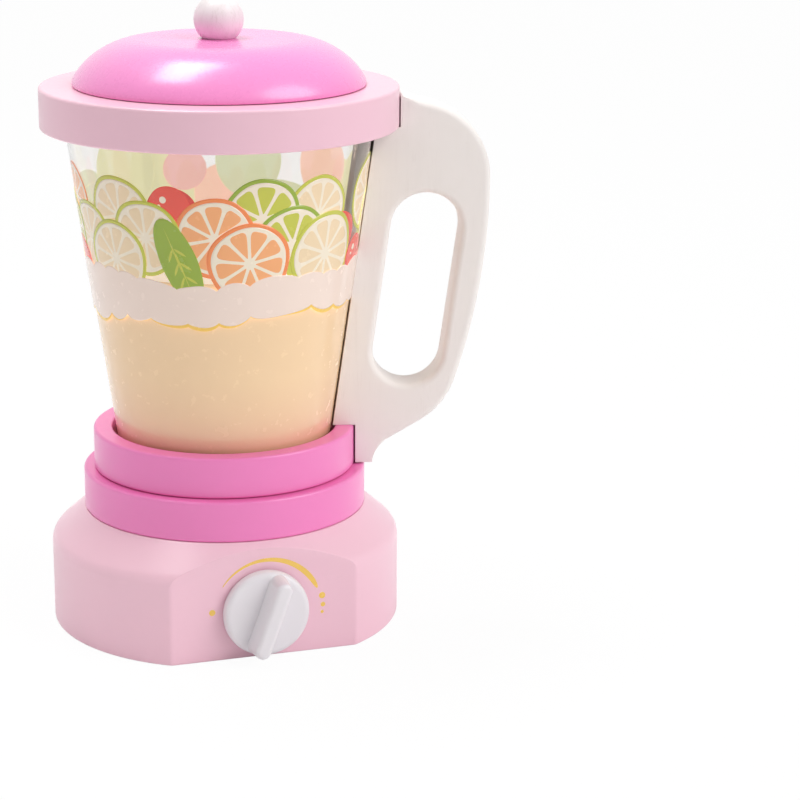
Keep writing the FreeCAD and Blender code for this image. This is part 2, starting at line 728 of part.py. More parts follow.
def handle_seats(z):
    """The handle's straight lines along the jug at a height: x, and the stretch of each."""
    return [
        (FOOT_RADIUS + GLUE_FIT, JUG_BOTTOM, FOOT_TOP + 2 * GLUE_FIT),
        (wall_radius(z) + GLUE_FIT, FOOT_TOP, RIM_BOTTOM),
        (RIM_RADIUS + GLUE_FIT, RIM_BOTTOM - 2 * GLUE_FIT, RIM_TOP),
    ]


def handle():
    """The board handle: outline less finger opening, its free edges rounded on both faces."""
    shape = board(handle_outline()).cut(board(grip_opening()))
    shape = softened(shape, handle_seats)
    shape = cut_all(shape, handle_dowels(GLUE_FIT))
    return cut_all(shape, several(screw_hole(handle_screw_length()), handle_screw_places()))


def seam_batten():
    """The strip inside the clear wall that the handle's screws pull against."""
    bottom = FLOOR_TOP + BATTEN_CLEARANCE
    top = LIP_BOTTOM - BATTEN_CLEARANCE
    inner = WALL + BATTEN_THICKNESS
    pen = Pen(wall_radius(bottom) - inner, bottom)
    pen.to(RIM_RADIUS, bottom)
    pen.to(RIM_RADIUS, top)
    pen.to(wall_radius(top) - inner, top)
    batten = board(pen.face()).common(wall_cone(bottom, top, WALL + GLUE_FIT))
    return cut_all(batten, several(screw_hole(handle_screw_length()), handle_screw_places()))


# Lid
def lid_crown():
    """The turned crown, solid: a flat middle that falls in a soft curve to a short upright edge."""
    rise = LID_HEIGHT - LID_EDGE
    flat = LID_RADIUS - LID_FALL_REACH
    points = []
    for step in range(CROWN_STEPS + 1):
        angle = math.radians(90.0 * step / CROWN_STEPS)
        across = flat + LID_FALL_REACH * math.cos(angle)
        up = rise * math.sin(angle) ** (2 / LID_FALL_POWER)
        points.append(V(across, 0, LID_BOTTOM + LID_EDGE + up))
    crown = Part.BSplineCurve()
    crown.interpolate(
        Points=points, InitialTangent=V(0, 0, 1), FinalTangent=V(-1, 0, 0)
    )
    pen = Pen(points[-1].x, points[-1].z)
    pen.to(0, LID_TOP)
    pen.to(0, LID_BOTTOM)
    pen.to(LID_RADIUS, LID_BOTTOM)
    pen.to(points[0].x, points[0].z)
    face = Part.Face(Part.Wire([*pen.edges, crown.toShape()]))
    return turned(face)


def lid_dome():
    return lid_crown().cut(lid_screw_hole())


def lid_screw_length():
    return LID_SPIGOT_DEPTH + LID_HEIGHT + LID_SCREW_POINT_RISE


def lid_screw_place(shape):
    return aimed(shape, V(0, 0, LID_BOTTOM - LID_SPIGOT_DEPTH), V(0, 0, 1))


def lid_screw_hole():
    return lid_screw_place(screw_hole(lid_screw_length(), LID_SCREW_RADIUS, LID_SCREW_HEAD))


def lid_spigot():
    """The disc under the crown that drops into the rim."""
    bottom = LID_BOTTOM - LID_SPIGOT_DEPTH
    radius = RIM_BORE - LOOSE_FIT
    plug = disc(radius, bottom, LID_BOTTOM)
    plug = plug.makeFillet(CORNER_BREAK, circle_edges(plug, radius, bottom))
    return plug.cut(lid_screw_hole())


def lid_ball():
    """The turned ball, cut to the crown that it is glued to."""
    ball = Part.makeSphere(BALL_RADIUS, V(0, 0, LID_TOP - BALL_SINK + BALL_RADIUS))
    return ball.cut(lid_crown()).cut(lid_screw_hole())


def lid_screw():
    return lid_screw_place(screw(lid_screw_length(), LID_SCREW_RADIUS, LID_SCREW_HEAD))


def assembly():
    """Every node's name with its solids."""
    small_screw = screw()
    return {
        "base_block": [base_block()],
        "base_collar": [base_collar()],
        "collar_dowels": collar_dowels(),
        "base_cover": [base_cover()],
        "cover_screws": several(small_screw, cover_screw_places()),
        "spindle_bush": [spindle_bush()],
        "spring_block": [spring_block()],
        "click_spring": [click_spring()],
        "spring_screw": [spring_screw_place(pan_screw(spring_screw_length(), SCREW_HEAD_RADIUS))],
        "dial_knob": [dial_knob()],
        "dial_spindle": [dial_spindle()],
        "spindle_washer": [spindle_washer()],
        "click_wheel": [click_wheel()],
        "spindle_screw": [spindle_screw()],
        "jug_wall": [on_jug(jug_wall())],
        "jug_rim": [on_jug(jug_rim())],
        "jug_foot_ring": [on_jug(jug_foot_ring())],
        "jug_floor": [on_jug(jug_floor())],
        "jug_spigot": [on_jug(jug_spigot())],
        "floor_screws": [on_jug(s) for s in several(small_screw, floor_screw_places())],
        "handle": [on_jug(handle())],
        "seam_batten": [on_jug(seam_batten())],
        "handle_screws": [
            on_jug(s) for s in several(screw(handle_screw_length()), handle_screw_places())
        ],
        "handle_dowels": [on_jug(s) for s in handle_dowels()],
        "lid_dome": [lid_dome()],
        "lid_spigot": [lid_spigot()],
        "lid_ball": [lid_ball()],
        "lid_screw": [lid_screw()],
    }


def main():
    os.makedirs(PARTS, exist_ok=True)
    for name, solids in assembly().items():
        shape = solids[0] if len(solids) == 1 else Part.makeCompound(solids)
        if not shape.isValid():
            raise ValueError(f"{name} is not a valid shape")
        shape.exportStep(os.path.join(PARTS, f"{name}.step"))
        print(name, len(shape.Solids), round(shape.Volume, 1))


main()
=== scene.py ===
"""Looks of a toy blender: a painted wooden base with a dial, a printed clear jug and a turned lid.

Every size is in millimetres in the object's own frame, and becomes metres when a mesh is made.
Each visible piece is a closed surface worked out with numpy and stands for the solid it follows.
"""

from __future__ import annotations

import logging
import math
from dataclasses import dataclass, field
from enum import Enum
from typing import Callable, Sequence

import bmesh
import bpy
import numpy as np
from mathutils import Matrix, Vector

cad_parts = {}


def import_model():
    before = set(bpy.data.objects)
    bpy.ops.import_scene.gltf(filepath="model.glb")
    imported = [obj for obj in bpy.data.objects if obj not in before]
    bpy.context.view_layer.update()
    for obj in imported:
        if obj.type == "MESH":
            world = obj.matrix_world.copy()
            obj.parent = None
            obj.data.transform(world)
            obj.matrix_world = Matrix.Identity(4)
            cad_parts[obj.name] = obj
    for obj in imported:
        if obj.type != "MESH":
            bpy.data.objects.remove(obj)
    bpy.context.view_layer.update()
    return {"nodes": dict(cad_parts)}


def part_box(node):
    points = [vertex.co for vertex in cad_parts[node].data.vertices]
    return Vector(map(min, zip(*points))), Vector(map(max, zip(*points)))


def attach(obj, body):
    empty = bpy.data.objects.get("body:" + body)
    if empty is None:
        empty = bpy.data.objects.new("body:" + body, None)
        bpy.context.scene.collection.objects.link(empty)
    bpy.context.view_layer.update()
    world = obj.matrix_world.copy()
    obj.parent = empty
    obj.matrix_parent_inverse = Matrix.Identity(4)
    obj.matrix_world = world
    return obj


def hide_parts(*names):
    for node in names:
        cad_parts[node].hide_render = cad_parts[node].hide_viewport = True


log = logging.getLogger("toy_blender")

MM = 0.001
TURN_STEPS = 192        # columns of a turned surface
CORNER_STEPS = 5        # rows on a rounded corner
EDGE_SUPPORT = 0.25     # mm, a row this close to each corner keeps flat faces flat
FLAT = 55.0             # from the axis to the base's flat front
DIAL_HEIGHT = 17.5
RIM_RADIUS = 65.0
FOOT_RADIUS = 48.6
MERGE = 1e-7            # metres, points closer than this become one
RGB = tuple[float, float, float]
Inks = list[tuple[str, str, list[Callable]]]    # suffix, finish and patches of each


class Body(Enum):
    """The four bodies that move apart."""

    BASE = "base"
    DIAL = "dial"
    JUG = "jug"
    LID = "lid"


class Fruit(Enum):
    """Plain printed shapes that repeat round the jug."""

    ORANGE_WHEEL = "orange_wheel"
    LIME_WHEEL = "lime_wheel"
    PALE_WHEEL = "pale_wheel"
    BERRY = "berry"
    LEAF = "leaf"


# Surfaces


def make_mesh(
    name: str, points: np.ndarray, quads: np.ndarray, smooth: bool = True
) -> bpy.types.Object:
    """Puts points and quads into a closed mesh object at the origin.

    Points that lie on each other, as at poles and seams, become one.

    Args:
        name: The object's name.
        points: An array of places, n by 3, in millimetres.
        quads: An array of corner numbers, m by 4.
        smooth: Whether it is shaded smooth.

    Returns:
        The new object.
    """
    mesh = bpy.data.meshes.new(name)
    mesh.from_pydata((points * MM).tolist(), [], quads.tolist())
    edit = bmesh.new()
    edit.from_mesh(mesh)
    bmesh.ops.remove_doubles(edit, verts=edit.verts, dist=MERGE)
    bmesh.ops.dissolve_degenerate(edit, edges=edit.edges, dist=MERGE)
    bmesh.ops.recalc_face_normals(edit, faces=edit.faces)
    edit.to_mesh(mesh)
    edit.free()
    mesh.polygons.foreach_set("use_smooth", np.full(len(mesh.polygons), smooth))
    obj = bpy.data.objects.new(name, mesh)
    bpy.context.scene.collection.objects.link(obj)
    return obj


def grid_quads(rows: int, cols: int, wrap_rows: bool, wrap_cols: bool) -> np.ndarray:
    """Corner numbers of the quads of a grid.

    Args:
        rows: Number of rows.
        cols: Number of columns.
        wrap_rows: Whether the last row joins the first.
        wrap_cols: Whether the last column joins the first.

    Returns:
        An array m by 4.
    """
    number = np.arange(rows * cols).reshape(rows, cols)
    down = np.roll(number, -1, axis=0)
    right = np.roll(number, -1, axis=1)
    both = np.roll(down, -1, axis=1)
    quads = np.stack([number, right, both, down], axis=-1)
    quads = quads[: rows if wrap_rows else rows - 1, : cols if wrap_cols else cols - 1]
    return quads.reshape(-1, 4)


def grid_object(
    name: str,
    points: np.ndarray,
    wrap_rows: bool = False,
    wrap_cols: bool = True,
    smooth: bool = True,
) -> bpy.types.Object:
    """Makes a mesh object from a grid of points.

    Args:
        name: The object's name.
        points: An array rows by columns by 3, in millimetres.
        wrap_rows: Whether the last row joins the first.
        wrap_cols: Whether the last column joins the first.
        smooth: Whether it is shaded smooth.

    Returns:
        The new object.
    """
    rows, cols, _ = points.shape
    quads = grid_quads(rows, cols, wrap_rows, wrap_cols)
    return make_mesh(name, points.reshape(-1, 3), quads, smooth)


def rounded_path(corners: Sequence[tuple[float, float, float]], closed: bool) -> np.ndarray:
    """A flat path through corners, each rounded by an arc of its own radius.

    The arc's centre lies on the corner's bisector, at the radius over the sine of half the
    corner's angle. Rows close to both ends of each arc keep the straights flat when shaded.

    Args:
        corners: Points (x, y, radius of rounding).
        closed: Whether the path returns to its first corner.

    Returns:
        An array of points n by 2.
    """
    at = np.array([corner[:2] for corner in corners], float)
    count = len(at)
    pieces = []
    for i, (x, y, radius) in enumerate(corners):
        here = np.array([x, y])
        is_end = not closed and i in (0, count - 1)
        if is_end or radius <= 0:
            pieces.append(here[None])
            continue
        before = at[i - 1] - here
        after = at[(i + 1) % count] - here
        reach = min(np.linalg.norm(before), np.linalg.norm(after)) / 2
        before = before / np.linalg.norm(before)
        after = after / np.linalg.norm(after)
        half = math.acos(np.clip(before @ after, -1, 1)) / 2
        if abs(half - math.pi / 2) < 1e-3:
            pieces.append(here[None])
            continue
        radius = min(radius, 0.9 * reach * math.tan(half))
        run = radius / math.tan(half)
        bisector = (before + after) / np.linalg.norm(before + after)
        centre = here + bisector * radius / math.sin(half)
        start = here + before * run - centre
        end = here + after * run - centre
        sweep = math.pi - 2 * half
        turn = np.linspace(0, 1, CORNER_STEPS)[:, None]
        arc = (np.sin((1 - turn) * sweep) * start + np.sin(turn * sweep) * end) / math.sin(sweep)
        support = min(EDGE_SUPPORT, (reach - run) / 2)
        lead = here + before * (run + support)
        tail = here + after * (run + support)
        pieces.append(np.concatenate([lead[None], centre + arc, tail[None]]))
    return np.concatenate(pieces)


def turned_points(profile: np.ndarray, steps: int = TURN_STEPS) -> np.ndarray:
    """Carries a profile of radius and height round the upright axis.

    Each point is (r cos a, r sin a, z), where r and z come from the profile's row and a from
    the column.

    Args:
        profile: An array of radius and height, n by 2.
        steps: Number of columns in the full turn.

    Returns:
        An array n by steps by 3.
    """
    angle = np.linspace(0, 2 * np.pi, steps, endpoint=False)
    radius = profile[:, :1]
    height = np.repeat(profile[:, 1:], steps, axis=1)
    return np.stack([radius * np.cos(angle), radius * np.sin(angle), height], axis=-1)


def smooth_min(a: np.ndarray, b: np.ndarray, softness: float) -> np.ndarray:
    """The lesser of two arrays, rounded where they cross by the polynomial h(1 - h) softness."""
    h = np.clip(0.5 + 0.5 * (b - a) / softness, 0, 1)
    return b + (a - b) * h - softness * h * (1 - h)


# Shader nodes


class Tree:
    """Adds and links the nodes of one material or node group."""

    def __init__(self, tree: bpy.types.NodeTree) -> None:
        """Keeps the tree."""
        self.tree = tree

    def add(self, kind: str, **settings: object) -> bpy.types.Node:
        """Adds a node.

        Args:
            kind: The node's type name.
            **settings: Attributes to set on it.

        Returns:
            The node.
        """
        node = self.tree.nodes.new(kind)
        for key, value in settings.items():
            setattr(node, key, value)
        return node

    def feed(self, target: bpy.types.NodeSocket, value: object) -> None:
        """Links a socket to an input, or sets the input to a plain value.

        Args:
            target: The input socket.
            value: An output socket, or a number, colour or vector.
        """
        if isinstance(value, bpy.types.NodeSocket):
            self.tree.links.new(value, target)
        elif isinstance(value, tuple) and len(value) == 3 and target.type == "RGBA":
            target.default_value = (*value, 1.0)
        else:
            target.default_value = value

    def fill(self, node: bpy.types.Node, values: dict[str | int, object]) -> bpy.types.Node:
        """Feeds several inputs of a node.

        Args:
            node: The node.
            values: What goes into each input, by its name or number.

        Returns:
            The node.
        """
        for key, value in values.items():
            self.feed(node.inputs[key], value)
        return node

    def use(self, group: bpy.types.NodeTree, **values: object) -> bpy.types.Node:
        """Puts a shared group in and feeds its inputs.

        Args:
            group: The group.
            **values: What goes into each input, by its name.

        Returns:
            The group's node.
        """
        return self.fill(self.add("ShaderNodeGroup", node_tree=group), values)

    def math(self, operation: str, a: object, b: object = 0.0) -> bpy.types.NodeSocket:
        """A Math node's output.

        Args:
            operation: The operation's name.
            a: First operand.
            b: Second operand.

        Returns:
            The value's socket.
        """
        return self.fill(self.add("ShaderNodeMath", operation=operation), {0: a, 1: b}).outputs[0]

    def noise(
        self, vector: object, scale: object, detail: float, rough: float = 0.55
    ) -> bpy.types.NodeSocket:
        """A noise texture's value.

        Args:
            vector: Where it is read.
            scale: Cells per metre.
            detail: Octaves.
            rough: How much each octave adds.

        Returns:
            The value's socket.
        """
        values = {"Vector": vector, "Scale": scale, "Detail": detail, "Roughness": rough}
        return self.fill(self.add("ShaderNodeTexNoise"), values).outputs["Fac"]

    def remap(
        self, value: object, low: float, high: float, to_low: float = 0.0, to_high: float = 1.0
    ) -> bpy.types.NodeSocket:
        """A clamped Map Range of a value.

        Args:
            value: The value.
            low: Where the result is to_low.
            high: Where the result is to_high.
            to_low: Result at low.
            to_high: Result at high.

        Returns:
            The result's socket.
        """
        values = dict(enumerate((value, low, high, to_low, to_high)))
        return self.fill(self.add("ShaderNodeMapRange"), values).outputs[0]

    def mix(self, factor: object, a: object, b: object) -> bpy.types.NodeSocket:
        """A mixed colour.

        Args:
            factor: How much of the second.
            a: First colour.
            b: Second colour.

        Returns:
            The colour's socket.
        """
        node = self.add("ShaderNodeMix", data_type="RGBA")
        return self.fill(node, {0: factor, 6: a, 7: b}).outputs[2]

    def stretched(self, vector: object, scale: tuple[float, float, float]) -> bpy.types.NodeSocket:
        """Coordinates stretched along the axes.

        Args:
            vector: The coordinates.
            scale: Factor along each axis.

        Returns:
            The vector's socket.
        """
        node = self.add("ShaderNodeMapping")
        self.feed(node.inputs["Vector"], vector)
        node.inputs["Scale"].default_value = scale
        return node.outputs[0]


def new_group(
    name: str, inputs: dict[str, str], outputs: dict[str, str]
) -> tuple[Tree, bpy.types.Node, bpy.types.Node]:
    """Makes an empty shader node group with named sockets.

    Args:
        name: The group's name.
        inputs: Input names and their socket kinds (Color, Float or Vector).
        outputs: Output names and their socket kinds.

    Returns:
        The group's tree, its input node and its output node.
    """
    group = bpy.data.node_groups.new(name, "ShaderNodeTree")
    for direction, sockets in (("INPUT", inputs), ("OUTPUT", outputs)):
        for socket_name, kind in sockets.items():
            group.interface.new_socket(
                name=socket_name, in_out=direction, socket_type=f"NodeSocket{kind}"
            )
    tree = Tree(group)
    return tree, tree.add("NodeGroupInput"), tree.add("NodeGroupOutput")


class Effects:
    """Node groups that several finishes share, built once."""

    def __init__(self) -> None:
        """Builds the groups."""
        self.paint = self._paint()
        self.grain = self._grain()
        self.specks = self._specks()

    @staticmethod
    def _paint() -> bpy.types.NodeTree:
        """Sprayed paint: broad tone changes, brushed fine mottling and an orange-peel height.

        Returns:
            The group.
        """
        tree, given, out = new_group(
            "sprayed_paint",
            {"Vector": "Vector", "Colour": "Color", "Mottle": "Float", "Roughness": "Float"},
            {"Colour": "Color", "Roughness": "Float", "Height": "Float"},
        )
        vector = given.outputs["Vector"]
        broad = tree.noise(vector, 22.0, 2.0)
        fine = tree.noise(vector, 260.0, 3.0)
        peel = tree.noise(vector, 900.0, 2.0, 0.6)
        slow = tree.math("MULTIPLY", broad, 0.65)
        tone = tree.math("ADD", slow, tree.math("MULTIPLY", fine, 0.35))
        spread = tree.math("MULTIPLY", tree.math("SUBTRACT", tone, 0.5), given.outputs["Mottle"])
        level = tree.math("ADD", spread, 1.0)
        shade = tree.add("ShaderNodeVectorMath", operation="SCALE")
        tree.feed(shade.inputs[0], given.outputs["Colour"])
        tree.feed(shade.inputs["Scale"], level)
        tree.feed(out.inputs["Colour"], shade.outputs[0])
        uneven = tree.math("MULTIPLY", tree.math("SUBTRACT", fine, 0.5), 0.16)
        tree.feed(out.inputs["Roughness"], tree.math("ADD", uneven, given.outputs["Roughness"]))
        tree.feed(out.inputs["Height"], peel)
        return tree.tree

    @staticmethod
    def _grain() -> bpy.types.NodeTree:
        """Wood grain: uneven streaks and short open pores, drawn out along the board.

        The coordinates come in already squeezed along the board. Broad noise gives the streaks,
        fine noise with a high threshold the pores, and a third one breaks both up.

        Returns:
            The group, whose mask is 1 on dark streaks.
        """
        tree, given, out = new_group(
            "wood_grain",
            {"Vector": "Vector", "Scale": "Float", "Sharpness": "Float"},
            {"Mask": "Float", "Pores": "Float"},
        )
        vector = given.outputs["Vector"]
        scale = given.outputs["Scale"]
        streaks = tree.remap(tree.noise(vector, scale, 5.0, 0.6), 0.35, 0.75)
        streaks = tree.math("POWER", streaks, given.outputs["Sharpness"])
        broken = tree.remap(tree.noise(vector, tree.math("MULTIPLY", scale, 0.35), 2.0), 0.35, 0.6)
        tree.feed(out.inputs["Mask"], tree.math("MULTIPLY", streaks, broken))
        pores = tree.remap(tree.noise(vector, tree.math("MULTIPLY", scale, 5.0), 2.0), 0.60, 0.70)
        tree.feed(out.inputs["Pores"], tree.math("MULTIPLY", pores, broken))
        return tree.tree

    @staticmethod
    def _specks() -> bpy.types.NodeTree:
        """Small marks of handling: sparse soft spots of dirt.

        Returns:
            The group, whose mask is 1 in a spot.
        """
        tree, given, out = new_group(
            "handling_marks", {"Vector": "Vector", "Scale": "Float"}, {"Mask": "Float"}
        )
        spots = tree.noise(given.outputs["Vector"], given.outputs["Scale"], 6.0, 0.7)
        tree.feed(out.inputs["Mask"], tree.remap(spots, 0.64, 0.8))
        return tree.tree


def new_material(
    name: str,
) -> tuple[bpy.types.Material, Tree, bpy.types.Node, bpy.types.NodeSocket]:
    """Makes a material with one Principled shader and Object coordinates.

    Args:
        name: The material's name.

    Returns:
        The material, its tree, the shader and the coordinates' socket.
    """
    material = bpy.data.materials.new(name)
    material.use_nodes = True
    tree = Tree(material.node_tree)
    shader = material.node_tree.nodes["Principled BSDF"]
    where = tree.add("ShaderNodeTexCoord").outputs["Object"]
    return material, tree, shader, where


def mix_shaders(tree: Tree, factor: object, first: bpy.types.Node, second: bpy.types.Node) -> None:
    """Puts a mix of two shaders on the material's output.

    Args:
        tree: The material's tree.
        factor: How much of the second.
        first: The first shader.
        second: The second shader.
    """
    both = tree.add("ShaderNodeMixShader")
    tree.fill(both, {0: factor, 1: first.outputs[0], 2: second.outputs[0]})
    tree.feed(tree.tree.nodes["Material Output"].inputs["Surface"], both.outputs[0])


def set_bump(
    tree: Tree, shader: bpy.types.Node, height: object, strength: float, distance: float
) -> None:
    """Feeds a height through a Bump node into the shader's normal.

    Args:
        tree: The material's tree.
        shader: The Principled shader.
        height: The height's socket.
        strength: Bump strength.
        distance: Height of 1 in metres.
    """
    bump = tree.add("ShaderNodeBump")
    tree.fill(bump, {"Strength": strength, "Distance": distance, "Height": height})
    tree.feed(shader.inputs["Normal"], bump.outputs[0])


@dataclass(frozen=True)
class PaintFinish:
    """Satin paint on wood, through which the grain shows as fine lines."""

    name: str
    colour: RGB
    roughness: float = 0.34
    mottle: float = 0.05
    coat: float = 0.25
    grain_colour: RGB = (0.5, 0.42, 0.38)
    grain: float = 0.0
    grain_scale: float = 60.0
    grain_stretch: tuple[float, float, float] = (1.0, 1.0, 0.07)
    grain_depth: float = 0.12

    def build(self, effects: Effects) -> bpy.types.Material:
        """Makes the material.

        Args:
            effects: The shared node groups.

        Returns:
            The material.
        """
        material, tree, shader, where = new_material(self.name)
        paint = tree.use(
            effects.paint,
            Vector=where, Colour=self.colour, Mottle=self.mottle, Roughness=self.roughness,
        )
        marks = tree.use(effects.specks, Vector=where, Scale=120.0)
        dirt = tree.math("MULTIPLY", marks.outputs["Mask"], 0.06)
        colour = tree.mix(dirt, paint.outputs["Colour"], (0.35, 0.28, 0.25))
        height = paint.outputs["Height"]
        if self.grain > 0:
            along = tree.stretched(where, self.grain_stretch)
            grain = tree.use(effects.grain, Vector=along, Scale=self.grain_scale, Sharpness=3.0)
            pores = tree.math("MULTIPLY", grain.outputs["Pores"], 0.6)
            lines = tree.math("MAXIMUM", grain.outputs["Mask"], pores)
            colour = tree.mix(tree.math("MULTIPLY", lines, self.grain), colour, self.grain_colour)
            sunk = tree.math("MULTIPLY", lines, self.grain_depth * 10)
            height = tree.math("SUBTRACT", height, sunk)
        tree.fill(shader, {
            "Base Color": colour,
            "Roughness": paint.outputs["Roughness"],
            "Coat Weight": self.coat,
            "Coat Roughness": 0.22,
        })
        set_bump(tree, shader, height, 0.06, 0.00003)
        return material


@dataclass(frozen=True)
class BareWoodFinish:
    """Sanded pale wood with darker grain lines and open pores."""

    name: str
    pale: RGB = (0.70, 0.50, 0.32)
    dark: RGB = (0.48, 0.30, 0.17)
    scale: float = 300.0

    def build(self, effects: Effects) -> bpy.types.Material:
        """Makes the material.

        Args:
            effects: The shared node groups.

        Returns:
            The material.
        """
        material, tree, shader, where = new_material(self.name)
        along = tree.stretched(where, (0.08, 1.0, 1.0))
        grain = tree.use(effects.grain, Vector=along, Scale=self.scale, Sharpness=1.6)
        colour = tree.mix(grain.outputs["Mask"], self.pale, self.dark)
        pores = tree.math("MULTIPLY", grain.outputs["Pores"], 0.5)
        tree.fill(shader, {
            "Base Color": tree.mix(pores, colour, self.dark),
            "Roughness": tree.remap(grain.outputs["Mask"], 0.0, 1.0, 0.55, 0.7),
        })
        set_bump(tree, shader, tree.math("SUBTRACT", 1.0, grain.outputs["Pores"]), 0.3, 0.00008)
        return material


@dataclass(frozen=True)
class PlasticFinish:
    """Moulded plastic with faint flow marks and fine scuffs in its gloss."""

    name: str
    colour: RGB
    roughness: float = 0.28

    def build(self, effects: Effects) -> bpy.types.Material:
        """Makes the material.

        Args:
            effects: The shared node groups.

        Returns:
            The material.
        """
        material, tree, shader, where = new_material(self.name)
        marks = tree.use(effects.specks, Vector=where, Scale=400.0)
        shade = tree.remap(tree.noise(where, 90.0, 2.0), 0.3, 0.7, 0.0, 0.03)
        darker = tuple(0.8 * part for part in self.colour)
        scuffed = tree.math("MULTIPLY", marks.outputs["Mask"], 0.2)
        tree.fill(shader, {
            "Base Color": tree.mix(shade, self.colour, darker),
            "Roughness": tree.math("ADD", scuffed, self.roughness),
            "Subsurface Weight": 0.08,
            "Subsurface Radius": (0.002, 0.0018, 0.0016),
        })
        set_bump(tree, shader, tree.noise(where, 700.0, 2.0), 0.12, 0.00004)
        return material


@dataclass(frozen=True)
class MetalFinish:
    """Turned or rolled metal with fine drawn lines."""

    name: str
    colour: RGB
    roughness: float = 0.32

    def build(self, effects: Effects) -> bpy.types.Material:
        """Makes the material.

        Args:
            effects: The shared node groups.

        Returns:
            The material.
        """
        material, tree, shader, where = new_material(self.name)
        lines = tree.noise(tree.stretched(where, (1.0, 1.0, 14.0)), 900.0, 3.0)
        marks = tree.use(effects.specks, Vector=where, Scale=600.0)
        darker = tuple(0.7 * part for part in self.colour)
        spread = tree.math("MULTIPLY", tree.math("SUBTRACT", lines, 0.5), 0.25)
        tree.fill(shader, {
            "Base Color": tree.mix(marks.outputs["Mask"], self.colour, darker),
            "Roughness": tree.math("ADD", spread, self.roughness),
            "Metallic": 1.0,
        })
        set_bump(tree, shader, lines, 0.15, 0.00003)
        return material


@dataclass(frozen=True)
class ClearFinish:
    """Clear glossy sheet, faintly tinted and scuffed. Shadow rays pass straight through it."""

    name: str
    tint: RGB = (0.99, 0.975, 0.96)
    roughness: float = 0.03
    shadow: RGB = (0.96, 0.96, 0.96)

    def build(self, effects: Effects) -> bpy.types.Material:
        """Makes the material.

        Args:
            effects: The shared node groups.

        Returns:
            The material.
        """
        material, tree, shader, where = new_material(self.name)
        marks = tree.use(effects.specks, Vector=where, Scale=180.0)
        scuffed = tree.math("MULTIPLY", marks.outputs["Mask"], 0.1)
        tree.fill(shader, {
            "Base Color": self.tint,
            "Roughness": tree.math("ADD", scuffed, self.roughness),
            "Transmission Weight": 1.0,
            "IOR": 1.47,
        })
        clear = tree.fill(tree.add("ShaderNodeBsdfTransparent"), {"Color": self.shadow})
        path = tree.add("ShaderNodeLightPath")
        mix_shaders(tree, path.outputs["Is Shadow Ray"], shader, clear)
        return material


@dataclass(frozen=True)
class InkFinish:
    """Printed ink on clear film: an even colour with faint dots, paler from inside."""

    name: str
    colour: RGB
    second: RGB | None = None
    low: float = 0.0
    high: float = 1.0
    backing: RGB = (0.84, 0.78, 0.72)
    backing_share: float = 0.5
    # strength of the painted glow on the faces towards the axis
    glow: float = 1.0

    def build(self, effects: Effects) -> bpy.types.Material:
        """Makes the material. A second colour fades in between the heights low and high.

        The side that faces the jug's axis shows the pale backing, by the sign of the surface's
        direction along the radius. That side also emits its own colour: painted light that stands
        in for light coming through the thin film.

        Args:
            effects: The shared node groups.

        Returns:
            The material.
        """
        material, tree, shader, where = new_material(self.name)
        colour: object = self.colour
        if self.second is not None:
            split = tree.fill(tree.add("ShaderNodeSeparateXYZ"), {0: where})
            climb = tree.remap(split.outputs["Z"], self.low * MM, self.high * MM)
            colour = tree.mix(climb, self.colour, self.second)
        radial = tree.add("ShaderNodeVectorMath", operation="DOT_PRODUCT")
        facing = tree.add("ShaderNodeNewGeometry").outputs["True Normal"]
        tree.fill(radial, {0: tree.stretched(where, (1.0, 1.0, 0.0)), 1: facing})
        inside = tree.math("LESS_THAN", radial.outputs["Value"], 0.0)
        backed = tree.math("MULTIPLY", inside, self.backing_share)
        colour = tree.mix(backed, colour, self.backing)
        paint = tree.use(effects.paint, Vector=where, Colour=colour, Mottle=0.04, Roughness=0.25)
        tree.fill(shader, {
            "Base Color": paint.outputs["Colour"],
            "Roughness": paint.outputs["Roughness"],
            "Coat Weight": 0.5,
            "Coat Roughness": 0.06,
            # painted light: faces towards the axis emit their colour in place of light through the
            # film
            "Emission Color": colour,
            "Emission Strength": tree.math("MULTIPLY", inside, self.glow),
        })
        return material


